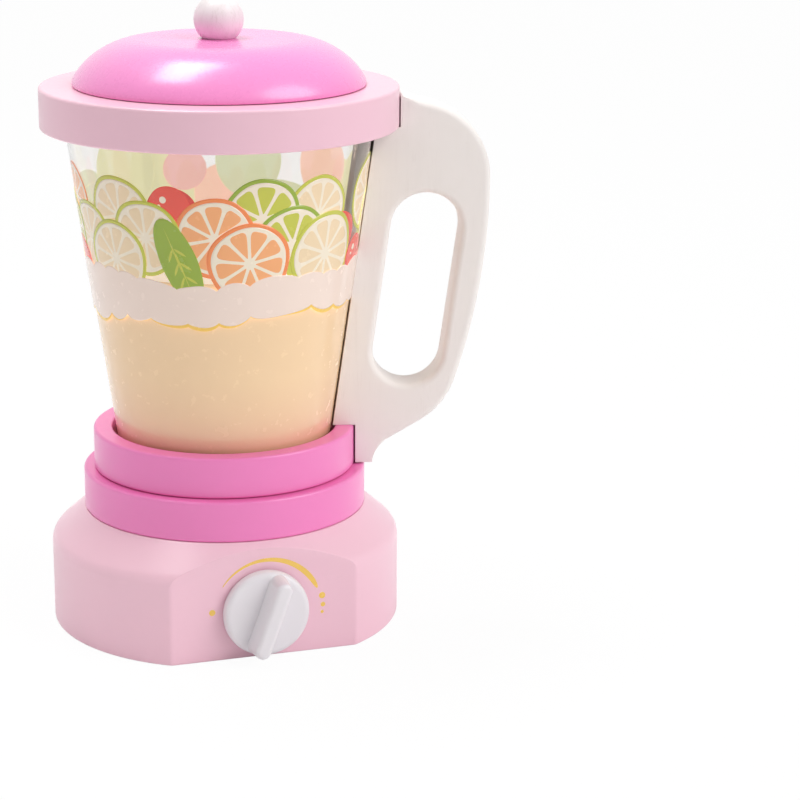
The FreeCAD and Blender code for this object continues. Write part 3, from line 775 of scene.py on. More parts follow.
class Paintbox:
    """Every finish of the object, made once."""

    def __init__(self) -> None:
        """Builds the shared groups and the materials."""
        effects = Effects()
        finishes = [
            PaintFinish("pale_pink", (0.88, 0.55, 0.65)),
            PaintFinish("deep_pink", (0.88, 0.22, 0.53)),
            PaintFinish("hot_pink", (0.90, 0.27, 0.60), roughness=0.28, coat=0.5),
            PaintFinish(
                "white_board", (0.88, 0.83, 0.80), roughness=0.5, coat=0.0, mottle=0.04,
                grain=0.16, grain_scale=420.0, grain_depth=0.15,
            ),
            PaintFinish(
                "white_ball", (0.88, 0.82, 0.82), roughness=0.45, coat=0.05, mottle=0.05,
                grain=0.6, grain_scale=900.0, grain_stretch=(1.0, 1.0, 0.16), grain_depth=0.3,
            ),
            PaintFinish("cream_floor", (0.84, 0.62, 0.42), roughness=0.5, coat=0.0),
            BareWoodFinish("bare_wood"),
            PlasticFinish("white_plastic", (0.80, 0.77, 0.80)),
            PlasticFinish("grey_plastic", (0.35, 0.36, 0.38), roughness=0.45),
            MetalFinish("steel", (0.62, 0.61, 0.60)),
            MetalFinish("brass", (0.78, 0.57, 0.25)),
            ClearFinish("clear_sheet"),
            # the drink's own cream, with a painted reflection of the pink foot ring: darker and
            # more orange low down
            InkFinish("cream_ink", (0.84, 0.54, 0.34), (0.90, 0.64, 0.38), 70.0, 100.0),
            InkFinish("foam_ink", (0.88, 0.72, 0.63)),
            InkFinish("yellow_ink", (0.90, 0.58, 0.10)),
            InkFinish("orange_ink", (0.88, 0.25, 0.07)),
            InkFinish("orange_pale_ink", (0.90, 0.40, 0.16)),
            InkFinish("green_ink", (0.30, 0.42, 0.03)),
            InkFinish("lime_ink", (0.55, 0.56, 0.06)),
            InkFinish("red_ink", (0.70, 0.05, 0.035)),
            InkFinish("bright_red_ink", (0.82, 0.08, 0.05)),
            InkFinish("flesh_ink", (0.85, 0.66, 0.42)),
            InkFinish("pale_flesh_ink", (0.88, 0.78, 0.62)),
        ]
        self._materials = {finish.name: finish.build(effects) for finish in finishes}

    def coat(self, obj: bpy.types.Object, name: str) -> None:
        """Gives an object one of the materials.

        Args:
            obj: The object.
            name: The finish's name.
        """
        material = self._materials[name]
        if obj.material_slots:
            for slot in obj.material_slots:
                slot.material = material
        else:
            obj.data.materials.append(material)


@dataclass
class Workshop:
    """Places finished pieces: their body, finish and the solids they stand for."""

    nodes: dict[str, bpy.types.Object]
    paints: Paintbox

    def place(
        self,
        obj: bpy.types.Object,
        body: Body,
        finish: str,
        slot: str,
        stands_for: Sequence[str] = (),
    ) -> None:
        """Dresses a new piece and lets it ride.

        Args:
            obj: The piece.
            body: The body it rides on.
            finish: The finish's name.
            slot: The record's material slot. Not used.
            stands_for: Names of the solids that it replaces.
        """
        self.paints.coat(obj, finish)
        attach(obj, body.value)
        if stands_for:
            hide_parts(*stands_for)
        log.info("%s: %d faces on %s", obj.name, len(obj.data.polygons), body.value)

    def print_on(self, obj: bpy.types.Object, body: Body, finish: str) -> None:
        """Dresses ink on the clear wall, which lets light through and so casts no shadow.

        Args:
            obj: The ink.
            body: The body it rides on.
            finish: The finish's name.
        """
        self.place(obj, body, finish, "clear_plastic")
        obj.visible_shadow = False

    def dress(self, node: str, finish: str) -> None:
        """Gives a solid that stays its finish.

        Args:
            node: The solid's name.
            finish: The finish's name.
        """
        self.paints.coat(self.nodes[node], finish)
        log.info("%s keeps its solid in %s", node, finish)

    @staticmethod
    def height_of(node: str) -> tuple[float, float]:
        """Lowest and highest point of a solid, in millimetres."""
        low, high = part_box(node)
        return low[2] / MM, high[2] / MM


# Turned rings


@dataclass
class Ring:
    """A turned board ring with rounded outer corners and sanded bore corners."""

    name: str
    outer: float
    bore: float
    bottom: float
    top: float
    round_top: float = 1.0
    round_bottom: float = 0.8
    round_bore: float = 0.8

    def build(self) -> bpy.types.Object:
        """The surface of a rounded rectangle carried round the axis.

        Returns:
            The ring.
        """
        corners = [
            (self.outer, self.bottom, self.round_bottom),
            (self.outer, self.top, self.round_top),
            (self.bore, self.top, self.round_bore),
            (self.bore, self.bottom, 0.3),
        ]
        return grid_object(self.name, turned_points(rounded_path(corners, True)), wrap_rows=True)


# Base


@dataclass
class Base:
    """The block with its flat front, the collar on it, the plate underneath and the printed arc."""

    radius: float = 65.0
    flat: float = FLAT
    shoulder_top: float = 52.6
    side_top: float = 32.2
    shoulder_round: float = 6.0
    corner: float = 0.8
    upright_softness: float = 0.5
    top_rows: tuple[float, ...] = (0.0, 0.4, 0.8, 0.99, 0.997, 1.0, 1.003)
    edge_rows: tuple[float, ...] = (0.9, 0.4, 0.15)
    corner_columns: int = 40
    front_columns: int = 160
    back_columns: int = 150
    cover_half: float = 36.0
    cover_front: float = -49.0
    cover_back: float = -3.0
    cover_power: float = 7.0
    cover_depth: float = 4.6
    arc_radius: float = 18.6
    arc_lift: float = 0.12
    dial_height: float = DIAL_HEIGHT
    collar: float = 52.5
    collar_bore: float = 37.0

    def profile(self, top: float) -> np.ndarray:
        """Radius and height from the top's middle out and down to where the side is upright.

        Args:
            top: The block's height.

        Returns:
            An array n by 2, in small even steps.
        """
        path = rounded_path(
            [
                (0.0, top, 0.0),
                (self.shoulder_top, top, 0.3),
                (self.radius, self.side_top, self.shoulder_round),
                (self.radius, self.side_top - self.shoulder_round, 0.0),
            ],
            False,
        )
        length = np.concatenate([[0], np.cumsum(np.linalg.norm(np.diff(path, axis=0), axis=1))])
        even = np.linspace(0, length[-1], 1500)
        return np.stack([np.interp(even, length, path[:, axis]) for axis in (0, 1)], axis=-1)

    def columns(self) -> np.ndarray:
        """Angles of the columns from the front, close together at the flat's upright edges.

        Returns:
            Angles in radians.
        """
        edge = math.acos(self.flat / self.radius)
        near = math.radians(2.5)
        parts = [
            np.linspace(-edge - near, -edge + near, self.corner_columns, endpoint=False),
            np.linspace(-edge + near, edge - near, self.front_columns, endpoint=False),
            np.linspace(edge - near, edge + near, self.corner_columns, endpoint=False),
            np.linspace(edge + near, 2 * np.pi - edge - near, self.back_columns, endpoint=False),
        ]
        return np.concatenate(parts)

    def recess(self, angle: np.ndarray, height: float) -> np.ndarray:
        """The plate's recess: |x/a|^n + |y/b|^n = 1 cut by rays from its middle.

        Args:
            angle: Angles of the columns.
            height: Height of the row.

        Returns:
            An array of one row of points.
        """
        middle = (self.cover_front + self.cover_back) / 2
        half_y = (self.cover_back - self.cover_front) / 2
        ray = np.stack([np.cos(angle), np.sin(angle)], axis=-1)
        power = self.cover_power
        reach = (
            np.abs(ray[:, 0] / self.cover_half) ** power + np.abs(ray[:, 1] / half_y) ** power
        ) ** (-1 / power)
        flat = ray * reach[:, None] + np.array([0.0, middle])
        return np.concatenate([flat, np.full((len(angle), 1), height)], axis=1)

    def block(self, top: float) -> bpy.types.Object:
        """The block: a turned profile that the flat front cuts short.

        A column at angle a from the front may reach no further than the flat's distance over
        cos a. Its upper rows follow the profile out to that reach, so one row runs along the
        flat's upper edge, and its lower rows drop from there to the underside.

        Args:
            top: The block's height.

        Returns:
            The block.
        """
        turn = self.columns()
        ahead = np.maximum(np.cos(turn), 0.05)
        whole = np.full(turn.shape, self.radius)
        reach = smooth_min(self.flat / ahead, whole, self.upright_softness)
        profile = self.profile(top)
        length = np.linalg.norm(np.diff(profile, axis=0), axis=1).sum()
        travel = np.linspace(0, length, len(profile))
        last = np.searchsorted(np.maximum.accumulate(profile[:, 0]), reach - 1e-6)
        edge = travel[np.minimum(last, len(travel) - 1)]
        flat_top = np.array(self.top_rows)[:, None] * self.shoulder_top + 0 * edge
        close = edge - np.array(self.edge_rows)[:, None]
        start, stop = flat_top[-1], close[0]
        slope = start + (stop - start) * np.linspace(0, 1, 26)[1:-1, None]
        along = np.concatenate([flat_top, slope, close, edge[None]])
        out = np.minimum(np.interp(along, travel, profile[:, 0]), reach)
        height = np.interp(along, travel, profile[:, 1])
        brink = height[-1]
        drops = [brink - step for step in reversed(self.edge_rows)]
        fall = brink - 1.2 - self.corner
        drops += [self.corner + fall * way for way in np.linspace(1, 0, 5)]
        bend = np.linspace(0, np.pi / 2, CORNER_STEPS)[1:, None]
        low_rows = self.corner * (1 - np.sin(bend)) + 0 * brink
        side_height = np.concatenate([np.stack(drops), low_rows])
        side_out = np.concatenate([
            np.broadcast_to(reach, (len(drops), len(reach))),
            reach - self.corner * (1 - np.cos(bend)),
        ])
        under_out = np.stack([reach - 3.0, reach - 6.0])
        radius = np.concatenate([out, side_out, under_out])
        level = np.concatenate([height, side_height, 0 * under_out])
        angle = turn - np.pi / 2
        outside = np.stack([radius * np.cos(angle), radius * np.sin(angle), level], axis=-1)
        edge_row = self.recess(angle, 0.0)
        ceiling = self.recess(angle, self.cover_depth)
        middle = np.broadcast_to(ceiling.mean(axis=0), ceiling.shape)
        inside = np.stack([edge_row, ceiling, middle])
        return grid_object("painted_base", np.concatenate([outside, inside]))

    def arc(self) -> bpy.types.Object:
        """The printed arc over the dial: a band whose width swells along it.

        Its middle runs on a circle round the dial from upper left to the right, and its half
        width follows a power of the way along, drawn in to a point at each end.

        Returns:
            The arc.
        """
        way = np.linspace(0, 1, 90)
        angle = np.radians(146.0 - 128.0 * way)
        half = 0.12 + 1.15 * way**0.9 * np.sqrt(np.clip(1 - way**10, 0, 1))
        radius = self.arc_radius + 2.2 * way**2
        return self._printed_band("yellow_arc", angle, radius, half)

    def _printed_band(
        self, name: str, angle: np.ndarray, radius: np.ndarray, half: np.ndarray
    ) -> bpy.types.Object:
        """A thin raised band of ink on the flat front.

        Args:
            name: The object's name.
            angle: Angles along it, about the dial's middle.
            radius: Distances from the dial's middle.
            half: Half widths.

        Returns:
            The band.
        """
        across = np.array([-1.0, -1.0, 1.0, 1.0])
        lift = np.array([-self.arc_lift, self.arc_lift, self.arc_lift, -self.arc_lift]) / 2
        reach = radius[:, None] + half[:, None] * across
        x = reach * np.cos(angle)[:, None]
        z = reach * np.sin(angle)[:, None] + self.dial_height
        y = np.broadcast_to(-self.flat - lift, x.shape)
        body = np.stack([x, y, z], axis=-1)
        ends = [np.broadcast_to(body[i].mean(axis=0), body[i].shape)[None] for i in (0, -1)]
        return grid_object(name, np.concatenate([ends[0], body, ends[1]]), smooth=False)

    def dots(self) -> bpy.types.Object:
        """Round printed dots at the arc's two ends, each a flat disc.

        Returns:
            The dots as one object.
        """
        turn = np.linspace(0, 2 * np.pi, 24, endpoint=False)
        points = []
        quads = []
        spots = [(-19.4, 1.1, 1.15), (21.6, 3.4, 1.2), (21.9, -0.1, 0.9), (21.6, -2.9, 0.6)]
        for across, up, size in spots:
            rows = []
            for reach, out in ((0.0, 0.5), (1.0, 0.5), (1.0, -0.5), (0.0, -0.5)):
                x = across + size * reach * np.cos(turn)
                y = np.full(x.shape, -self.flat - out * self.arc_lift)
                z = up + self.dial_height + size * reach * np.sin(turn)
                rows.append(np.stack([x, y, z], axis=-1))
            quads.append(grid_quads(4, len(turn), False, True) + 4 * len(turn) * len(points))
            points.append(np.stack(rows).reshape(-1, 3))
        return make_mesh("yellow_dots", np.concatenate(points), np.concatenate(quads), False)

    def assemble(self, shop: Workshop) -> None:
        """Builds and dresses the base's pieces.

        Args:
            shop: Where pieces are placed.
        """
        _, top = shop.height_of("base_block")
        shop.place(self.block(top), Body.BASE, "pale_pink", "pink_paint", ["base_block"])
        low, high = shop.height_of("base_collar")
        collar = Ring("painted_collar", self.collar, self.collar_bore, low, high)
        shop.place(collar.build(), Body.BASE, "deep_pink", "deep_pink_paint", ["base_collar"])
        shop.place(self.arc(), Body.BASE, "yellow_ink", "pink_paint")
        shop.place(self.dots(), Body.BASE, "yellow_ink", "pink_paint")
        for node in ("base_cover", "collar_dowels", "spring_block"):
            shop.dress(node, "bare_wood")
        shop.dress("spindle_bush", "brass")
        for node in ("cover_screws", "click_spring", "spring_screw"):
            shop.dress(node, "steel")


# Dial


@dataclass
class Dial:
    """The moulded dial: a soft-edged plate with a raised bar, and the works behind it."""

    height: float = DIAL_HEIGHT
    flat: float = FLAT
    gap: float = 0.5
    plate: float = 5.0
    radius: float = 15.8
    plate_round: float = 2.5
    bar_height: float = 8.4
    bar_root: float = 8.0
    bar_top: float = 5.6
    bar_inset: float = 0.9
    bar_round: float = 1.6
    tilt: float = 20.0

    def to_frame(self, local: np.ndarray) -> np.ndarray:
        """From dial coordinates (across, up, out of the flat) to the object's frame.

        Args:
            local: An array of places.

        Returns:
            The places, turned by the dial's tilt and set on the flat front.
        """
        lean = math.radians(-self.tilt)
        across = local[..., 0] * math.cos(lean) - local[..., 1] * math.sin(lean)
        up = local[..., 0] * math.sin(lean) + local[..., 1] * math.cos(lean)
        return np.stack([across, -self.flat - local[..., 2], up + self.height], axis=-1)

    def plate_piece(self) -> bpy.types.Object:
        """The round plate, a turned profile with a soft front edge and a slight crown.

        Returns:
            The plate.
        """
        top = self.gap + self.plate
        corners = [
            (0.0, self.gap, 0.0),
            (self.radius, self.gap, 0.8),
            (self.radius, top - 0.5, self.plate_round),
            (0.0, top, 0.0),
        ]
        local = turned_points(rounded_path(corners, False), 144)
        return grid_object("dial_plate", self.to_frame(local))

    def bar(self) -> bpy.types.Object:
        """The bar: round-ended outlines stacked outwards, each narrower by its draft.

        A row's outline is a stadium, its half width and half length falling from root to top,
        and a quarter circle of rounding carries the last rows inwards to the top face.

        Returns:
            The bar.
        """
        root = self.gap + self.plate / 2
        top = self.gap + self.plate + self.bar_height
        rise = np.linspace(0, 1, 14)
        turn = np.linspace(0, np.pi / 2, 7)[1:]
        straight_top = top - self.bar_round
        heights = np.concatenate([
            root + (straight_top - root) * rise,
            straight_top + self.bar_round * np.sin(turn),
            [top],
        ])
        inset = np.concatenate([
            np.zeros(rise.shape),
            self.bar_round * (1 - np.cos(turn)),
            [self.bar_top / 2],
        ])
        way = np.clip((heights - root) / (top - root), 0, 1)
        half = self.bar_root / 2 + (self.bar_top - self.bar_root) / 2 * way - inset
        half = np.maximum(half, 0.02)
        length = self.radius - 0.4 - self.bar_inset * way - inset
        angle = np.linspace(0, 2 * np.pi, 96, endpoint=False)
        round_x = np.cos(angle)
        round_y = np.sin(angle)
        x = half[:, None] * round_x
        y = half[:, None] * round_y + np.sign(round_y) * (length - half)[:, None]
        z = np.repeat(heights[:, None], len(angle), axis=1)
        rows = np.stack([x, y, z], axis=-1)
        first = rows[0] * np.array([0.0, 0.0, 1.0])
        last = rows[-1] * np.array([0.0, 1.0, 1.0])
        local = np.concatenate([first[None], rows, last[None]])
        return grid_object("dial_bar", self.to_frame(local))

    def assemble(self, shop: Workshop) -> None:
        """Builds and dresses the dial and what turns with it.

        Args:
            shop: Where pieces are placed.
        """
        for piece in (self.plate_piece(), self.bar()):
            shop.place(piece, Body.DIAL, "white_plastic", "white_plastic", ["dial_knob"])
        shop.dress("click_wheel", "grey_plastic")
        for node in ("dial_spindle", "spindle_washer", "spindle_screw"):
            shop.dress(node, "steel")


# Jug


@dataclass
class Cone:
    """The clear wall's cone, on which everything printed lies."""

    low: float = 73.2
    high: float = 185.0
    radius_low: float = 40.2
    radius_high: float = 56.0

    def radius(self, z: np.ndarray | float) -> np.ndarray | float:
        """Outside radius at a height, which rises evenly from low to high."""
        slope = (self.radius_high - self.radius_low) / (self.high - self.low)
        return self.radius_low + slope * (z - self.low)

    def wrap(self, angle: np.ndarray, z: np.ndarray, lift: np.ndarray | float) -> np.ndarray:
        """Points on the cone.

        Args:
            angle: Angles about the axis.
            z: Heights.
            lift: How far outside the wall.

        Returns:
            The points, in the shape of the angles with 3 more.
        """
        reach = self.radius(z) + lift
        return np.stack([reach * np.cos(angle), reach * np.sin(angle), z + 0 * angle], axis=-1)


@dataclass
class Print:
    """What is printed round the wall: drink, foam, and a crowd of plain fruit shapes above it.

    Every ink is a thin closed shell on the cone, and each one lies a little further out than
    those below it.
    """

    cone: Cone
    film: float = 0.014             # thickness of one ink
    pitch: float = 0.024            # from one ink's back to the next one's
    bottom: float = 65.0
    foam_low: float = 124.0
    foam_high: float = 137.0
    line_width: float = 1.3

    def lift(self, place: float) -> float:
        """How far outside the wall an ink's back lies, by its place in the pile."""
        return 0.02 + self.pitch * place

    def foam_edge(self, angle: np.ndarray, scallops: int, depth: float, phase: float) -> np.ndarray:
        """An uneven scalloped edge: rounded humps on slow waves.

        The humps are a power of the size of a sine, and the slow waves are sines whose numbers
        of turns are whole, so that the edge closes.

        Args:
            angle: Angles about the axis.
            scallops: Number of humps.
            depth: Their height.
            phase: Where they begin.

        Returns:
            Heights above the edge's middle.
        """
        slow = np.sin(2 * angle + phase) + 0.7 * np.sin(5 * angle - 2 * phase)
        uneven = angle + 0.09 * np.sin(3 * angle + phase) + 0.05 * np.sin(7 * angle)
        humps = np.abs(np.sin(scallops * uneven / 2 + phase)) ** 0.6
        return depth * humps * (1 + 0.35 * np.sin(4 * angle + phase)) + 0.9 * depth * slow

    def band(
        self, name: str, low: np.ndarray, high: np.ndarray, place: float, rows: int
    ) -> bpy.types.Object:
        """A closed band of ink between two edges that run right round.

        Args:
            name: The object's name.
            low: Heights of its lower edge by angle.
            high: Heights of its upper edge by angle.
            place: Its place in the pile.
            rows: Rows up its face.

        Returns:
            The band.
        """
        angle = np.linspace(0, 2 * np.pi, len(low), endpoint=False)
        way = np.concatenate([[0.0, 0.03], np.linspace(0.1, 0.9, rows), [0.97, 1.0]])[:, None]
        height = low + (high - low) * way
        lift = self.lift(place)
        outer = self.cone.wrap(angle + 0 * height, height, lift + self.film)
        inner = self.cone.wrap(angle + 0 * height, height, lift)[::-1]
        return grid_object(name, np.concatenate([outer, inner]), wrap_rows=True)

    def patches(
        self, name: str, middle: tuple[float, float], place: float, shapes: Sequence[Callable]
    ) -> bpy.types.Object:
        """Closed patches of ink, wrapped on to the cone.

        A patch's rows run from its middle out to the outline, over it and back behind.

        Args:
            name: The object's name.
            middle: Where the motif's middle lies: degrees about the axis, and height.
            place: Its place in the pile.
            shapes: One function a patch. From a row's share of the outline, it gives places
                across and up, flat, about the motif's middle.

        Returns:
            The patches as one object.
        """
        face = np.array([0.0, 0.2, 0.4, 0.6, 0.8, 0.95, 1.0])
        shares = np.concatenate([face, face[::-1]])[:, None]
        raised = np.where(np.arange(len(shares)) < len(shares) / 2, self.film, 0.0)[:, None]
        angle, height = math.radians(middle[0]), middle[1]
        points = []
        quads = []
        start = 0
        for shape in shapes:
            across, up = shape(shares)
            swing = angle + across / self.cone.radius(height)
            grid = self.cone.wrap(swing, height + up, self.lift(place) + raised + 0 * up)
            points.append(grid.reshape(-1, 3))
            quads.append(grid_quads(grid.shape[0], grid.shape[1], False, True) + start)
            start += len(points[-1])
        return make_mesh(name, np.concatenate(points), np.concatenate(quads))


def turned_by(
    across: np.ndarray | float, up: np.ndarray | float, degrees: float
) -> tuple[np.ndarray | float, np.ndarray | float]:
    """Flat places turned about the motif's middle."""
    lean = math.radians(degrees)
    return (
        across * math.cos(lean) - up * math.sin(lean),
        across * math.sin(lean) + up * math.cos(lean),
    )


def ellipse(angle: np.ndarray, length: float, width: float) -> np.ndarray:
    """Distances by angle to an ellipse with these two half axes."""
    return 1 / np.sqrt((np.cos(angle) / length) ** 2 + (np.sin(angle) / width) ** 2)


def round_shape(
    outline: np.ndarray, at: tuple[float, float] = (0.0, 0.0), turn: float = 0.0
) -> Callable:
    """A patch whose outline is a distance by angle about its own middle.

    Args:
        outline: The distances, one a column.
        at: Where its middle lies, across and up.
        turn: Degrees by which it is turned with the motif.

    Returns:
        The function that Print.patches takes.
    """
    around = np.linspace(0, 2 * np.pi, len(outline), endpoint=False)

    def shape(share: np.ndarray) -> tuple[np.ndarray, np.ndarray]:
        """The outline's places, drawn in by the share."""
        reach = share * outline
        return turned_by(at[0] + reach * np.cos(around), at[1] + reach * np.sin(around), turn)

    return shape


def wedge_shape(size: float, number: int, count: int, turn: float) -> Callable:
    """One juicy wedge of a citrus wheel: a sector with rounded corners.

    A squared circle's p and q, each a power of cosine and sine, give the distance from the
    wheel's middle and the side step, whose reach grows with that distance.

    Args:
        size: The wheel's radius.
        number: Which wedge.
        count: How many wedges the wheel has.
        turn: Degrees by which the wheel is turned.

    Returns:
        The function that Print.patches takes.
    """
    around = np.linspace(0, 2 * np.pi, 28, endpoint=False)
    p = np.sign(np.cos(around)) * np.abs(np.cos(around)) ** 0.55
    q = np.sign(np.sin(around)) * np.abs(np.sin(around)) ** 0.55

    def shape(share: np.ndarray) -> tuple[np.ndarray, np.ndarray]:
        """The wedge's places, drawn in by the share."""
        distance = size * (0.47 + 0.33 * p * share)
        side = q * share * (distance * math.sin(math.pi / count) - 0.032 * size)
        return turned_by(distance, side, turn + 360.0 * number / count)

    return shape


@dataclass
class FruitPrint:
    """One printed fruit, made of a few inks on each other."""

    kind: Fruit
    angle: float
    height: float
    size: float
    level: int
    turn: float = 0.0
    columns: int = 72
    inks: int = 4                   # places in the pile that a fruit takes

    def layers(self, sheet: Print, number: int) -> list[tuple[bpy.types.Object, str]]:
        """Makes the fruit's inks.

        Args:
            sheet: The print that it belongs to.
            number: Its number, for its name.

        Returns:
            Each ink's object and finish.
        """
        made = []
        for step, (suffix, finish, shapes) in enumerate(self.design()):
            name = f"print_{self.kind.value}_{number}_{suffix}"
            place = 1 + self.inks * self.level + step
            made.append((sheet.patches(name, (self.angle, self.height), place, shapes), finish))
        return made

    def design(self) -> Inks:
        """The inks from the lowest to the highest: a suffix, a finish and the patches.

        Returns:
            The inks of this kind of fruit.
        """
        if self.kind in WHEELS:
            return self._wheel(*WHEELS[self.kind])
        if self.kind is Fruit.BERRY:
            return self._berry()
        return self._leaf()

    def _wheel(self, rind: str, pith: str, flesh: str, count: int) -> Inks:
        """A cut citrus wheel: rind, pith and wedges.

        Args:
            rind: The rind's finish.
            pith: The pith's finish.
            flesh: The wedges' finish.
            count: Number of wedges.

        Returns:
            The inks.
        """
        around = np.linspace(0, 2 * np.pi, self.columns, endpoint=False)
        edge = self.size * (1 + 0.015 * np.sin(3 * around + self.angle) + 0.01 * np.sin(5 * around))
        wedges = [wedge_shape(self.size, i, count, self.turn) for i in range(count)]
        return [
            ("rind", rind, [round_shape(edge, turn=self.turn)]),
            ("pith", pith, [round_shape(0.90 * edge, turn=self.turn)]),
            ("flesh", flesh, wedges),
        ]

    def _berry(self) -> Inks:
        """A round berry with a darker side and two light spots.

        Returns:
            The inks.
        """
        around = np.linspace(0, 2 * np.pi, self.columns, endpoint=False)
        skin = self.size * (1 + 0.05 * np.cos(2 * around) - 0.04 * np.sin(around))
        light = 0.86 * self.size * (1 + 0.03 * np.cos(around))
        off = 0.11 * self.size
        spots = [
            round_shape(np.full(24, share * self.size), (x * self.size, y * self.size))
            for share, x, y in ((0.14, -0.32, 0.40), (0.07, -0.50, 0.14))
        ]
        return [
            ("skin", "red_ink", [round_shape(skin)]),
            ("light", "bright_red_ink", [round_shape(light, (-off, off))]),
            ("shine", "pale_flesh_ink", spots),
        ]

    def _leaf(self) -> Inks:
        """A leaf with one long vein and three pairs of side veins.

        Returns:
            The inks.
        """
        around = np.linspace(0, 2 * np.pi, self.columns, endpoint=False)
        blade = ellipse(around, self.size, 0.44 * self.size)
        blade = blade * (1 + 0.10 * np.abs(np.cos(around)) ** 8)
        thin = np.linspace(0, 2 * np.pi, 24, endpoint=False)

        def streak(length: float) -> np.ndarray:
            """The outline of a thin streak."""
            return ellipse(thin, length, 0.03 * self.size)

        veins = [round_shape(streak(0.88 * self.size), turn=self.turn)]
        for along in (-0.35, 0.0, 0.35):
            for side in (-1.0, 1.0):
                lean = side * 38.0
                x, y = turned_by((along + 0.14) * self.size, side * 0.12 * self.size, -lean)
                veins.append(round_shape(streak(0.17 * self.size), (x, y), self.turn + lean))
        return [
            ("blade", "green_ink", [round_shape(blade, turn=self.turn)]),
            ("veins", "lime_ink", veins),
        ]


# Rind, pith and flesh inks, and the number of wedges
WHEELS = {
    Fruit.ORANGE_WHEEL: ("orange_ink", "pale_flesh_ink", "orange_pale_ink", 9),
    Fruit.LIME_WHEEL: ("green_ink", "pale_flesh_ink", "lime_ink", 8),
    Fruit.PALE_WHEEL: ("lime_ink", "pale_flesh_ink", "flesh_ink", 10),
}


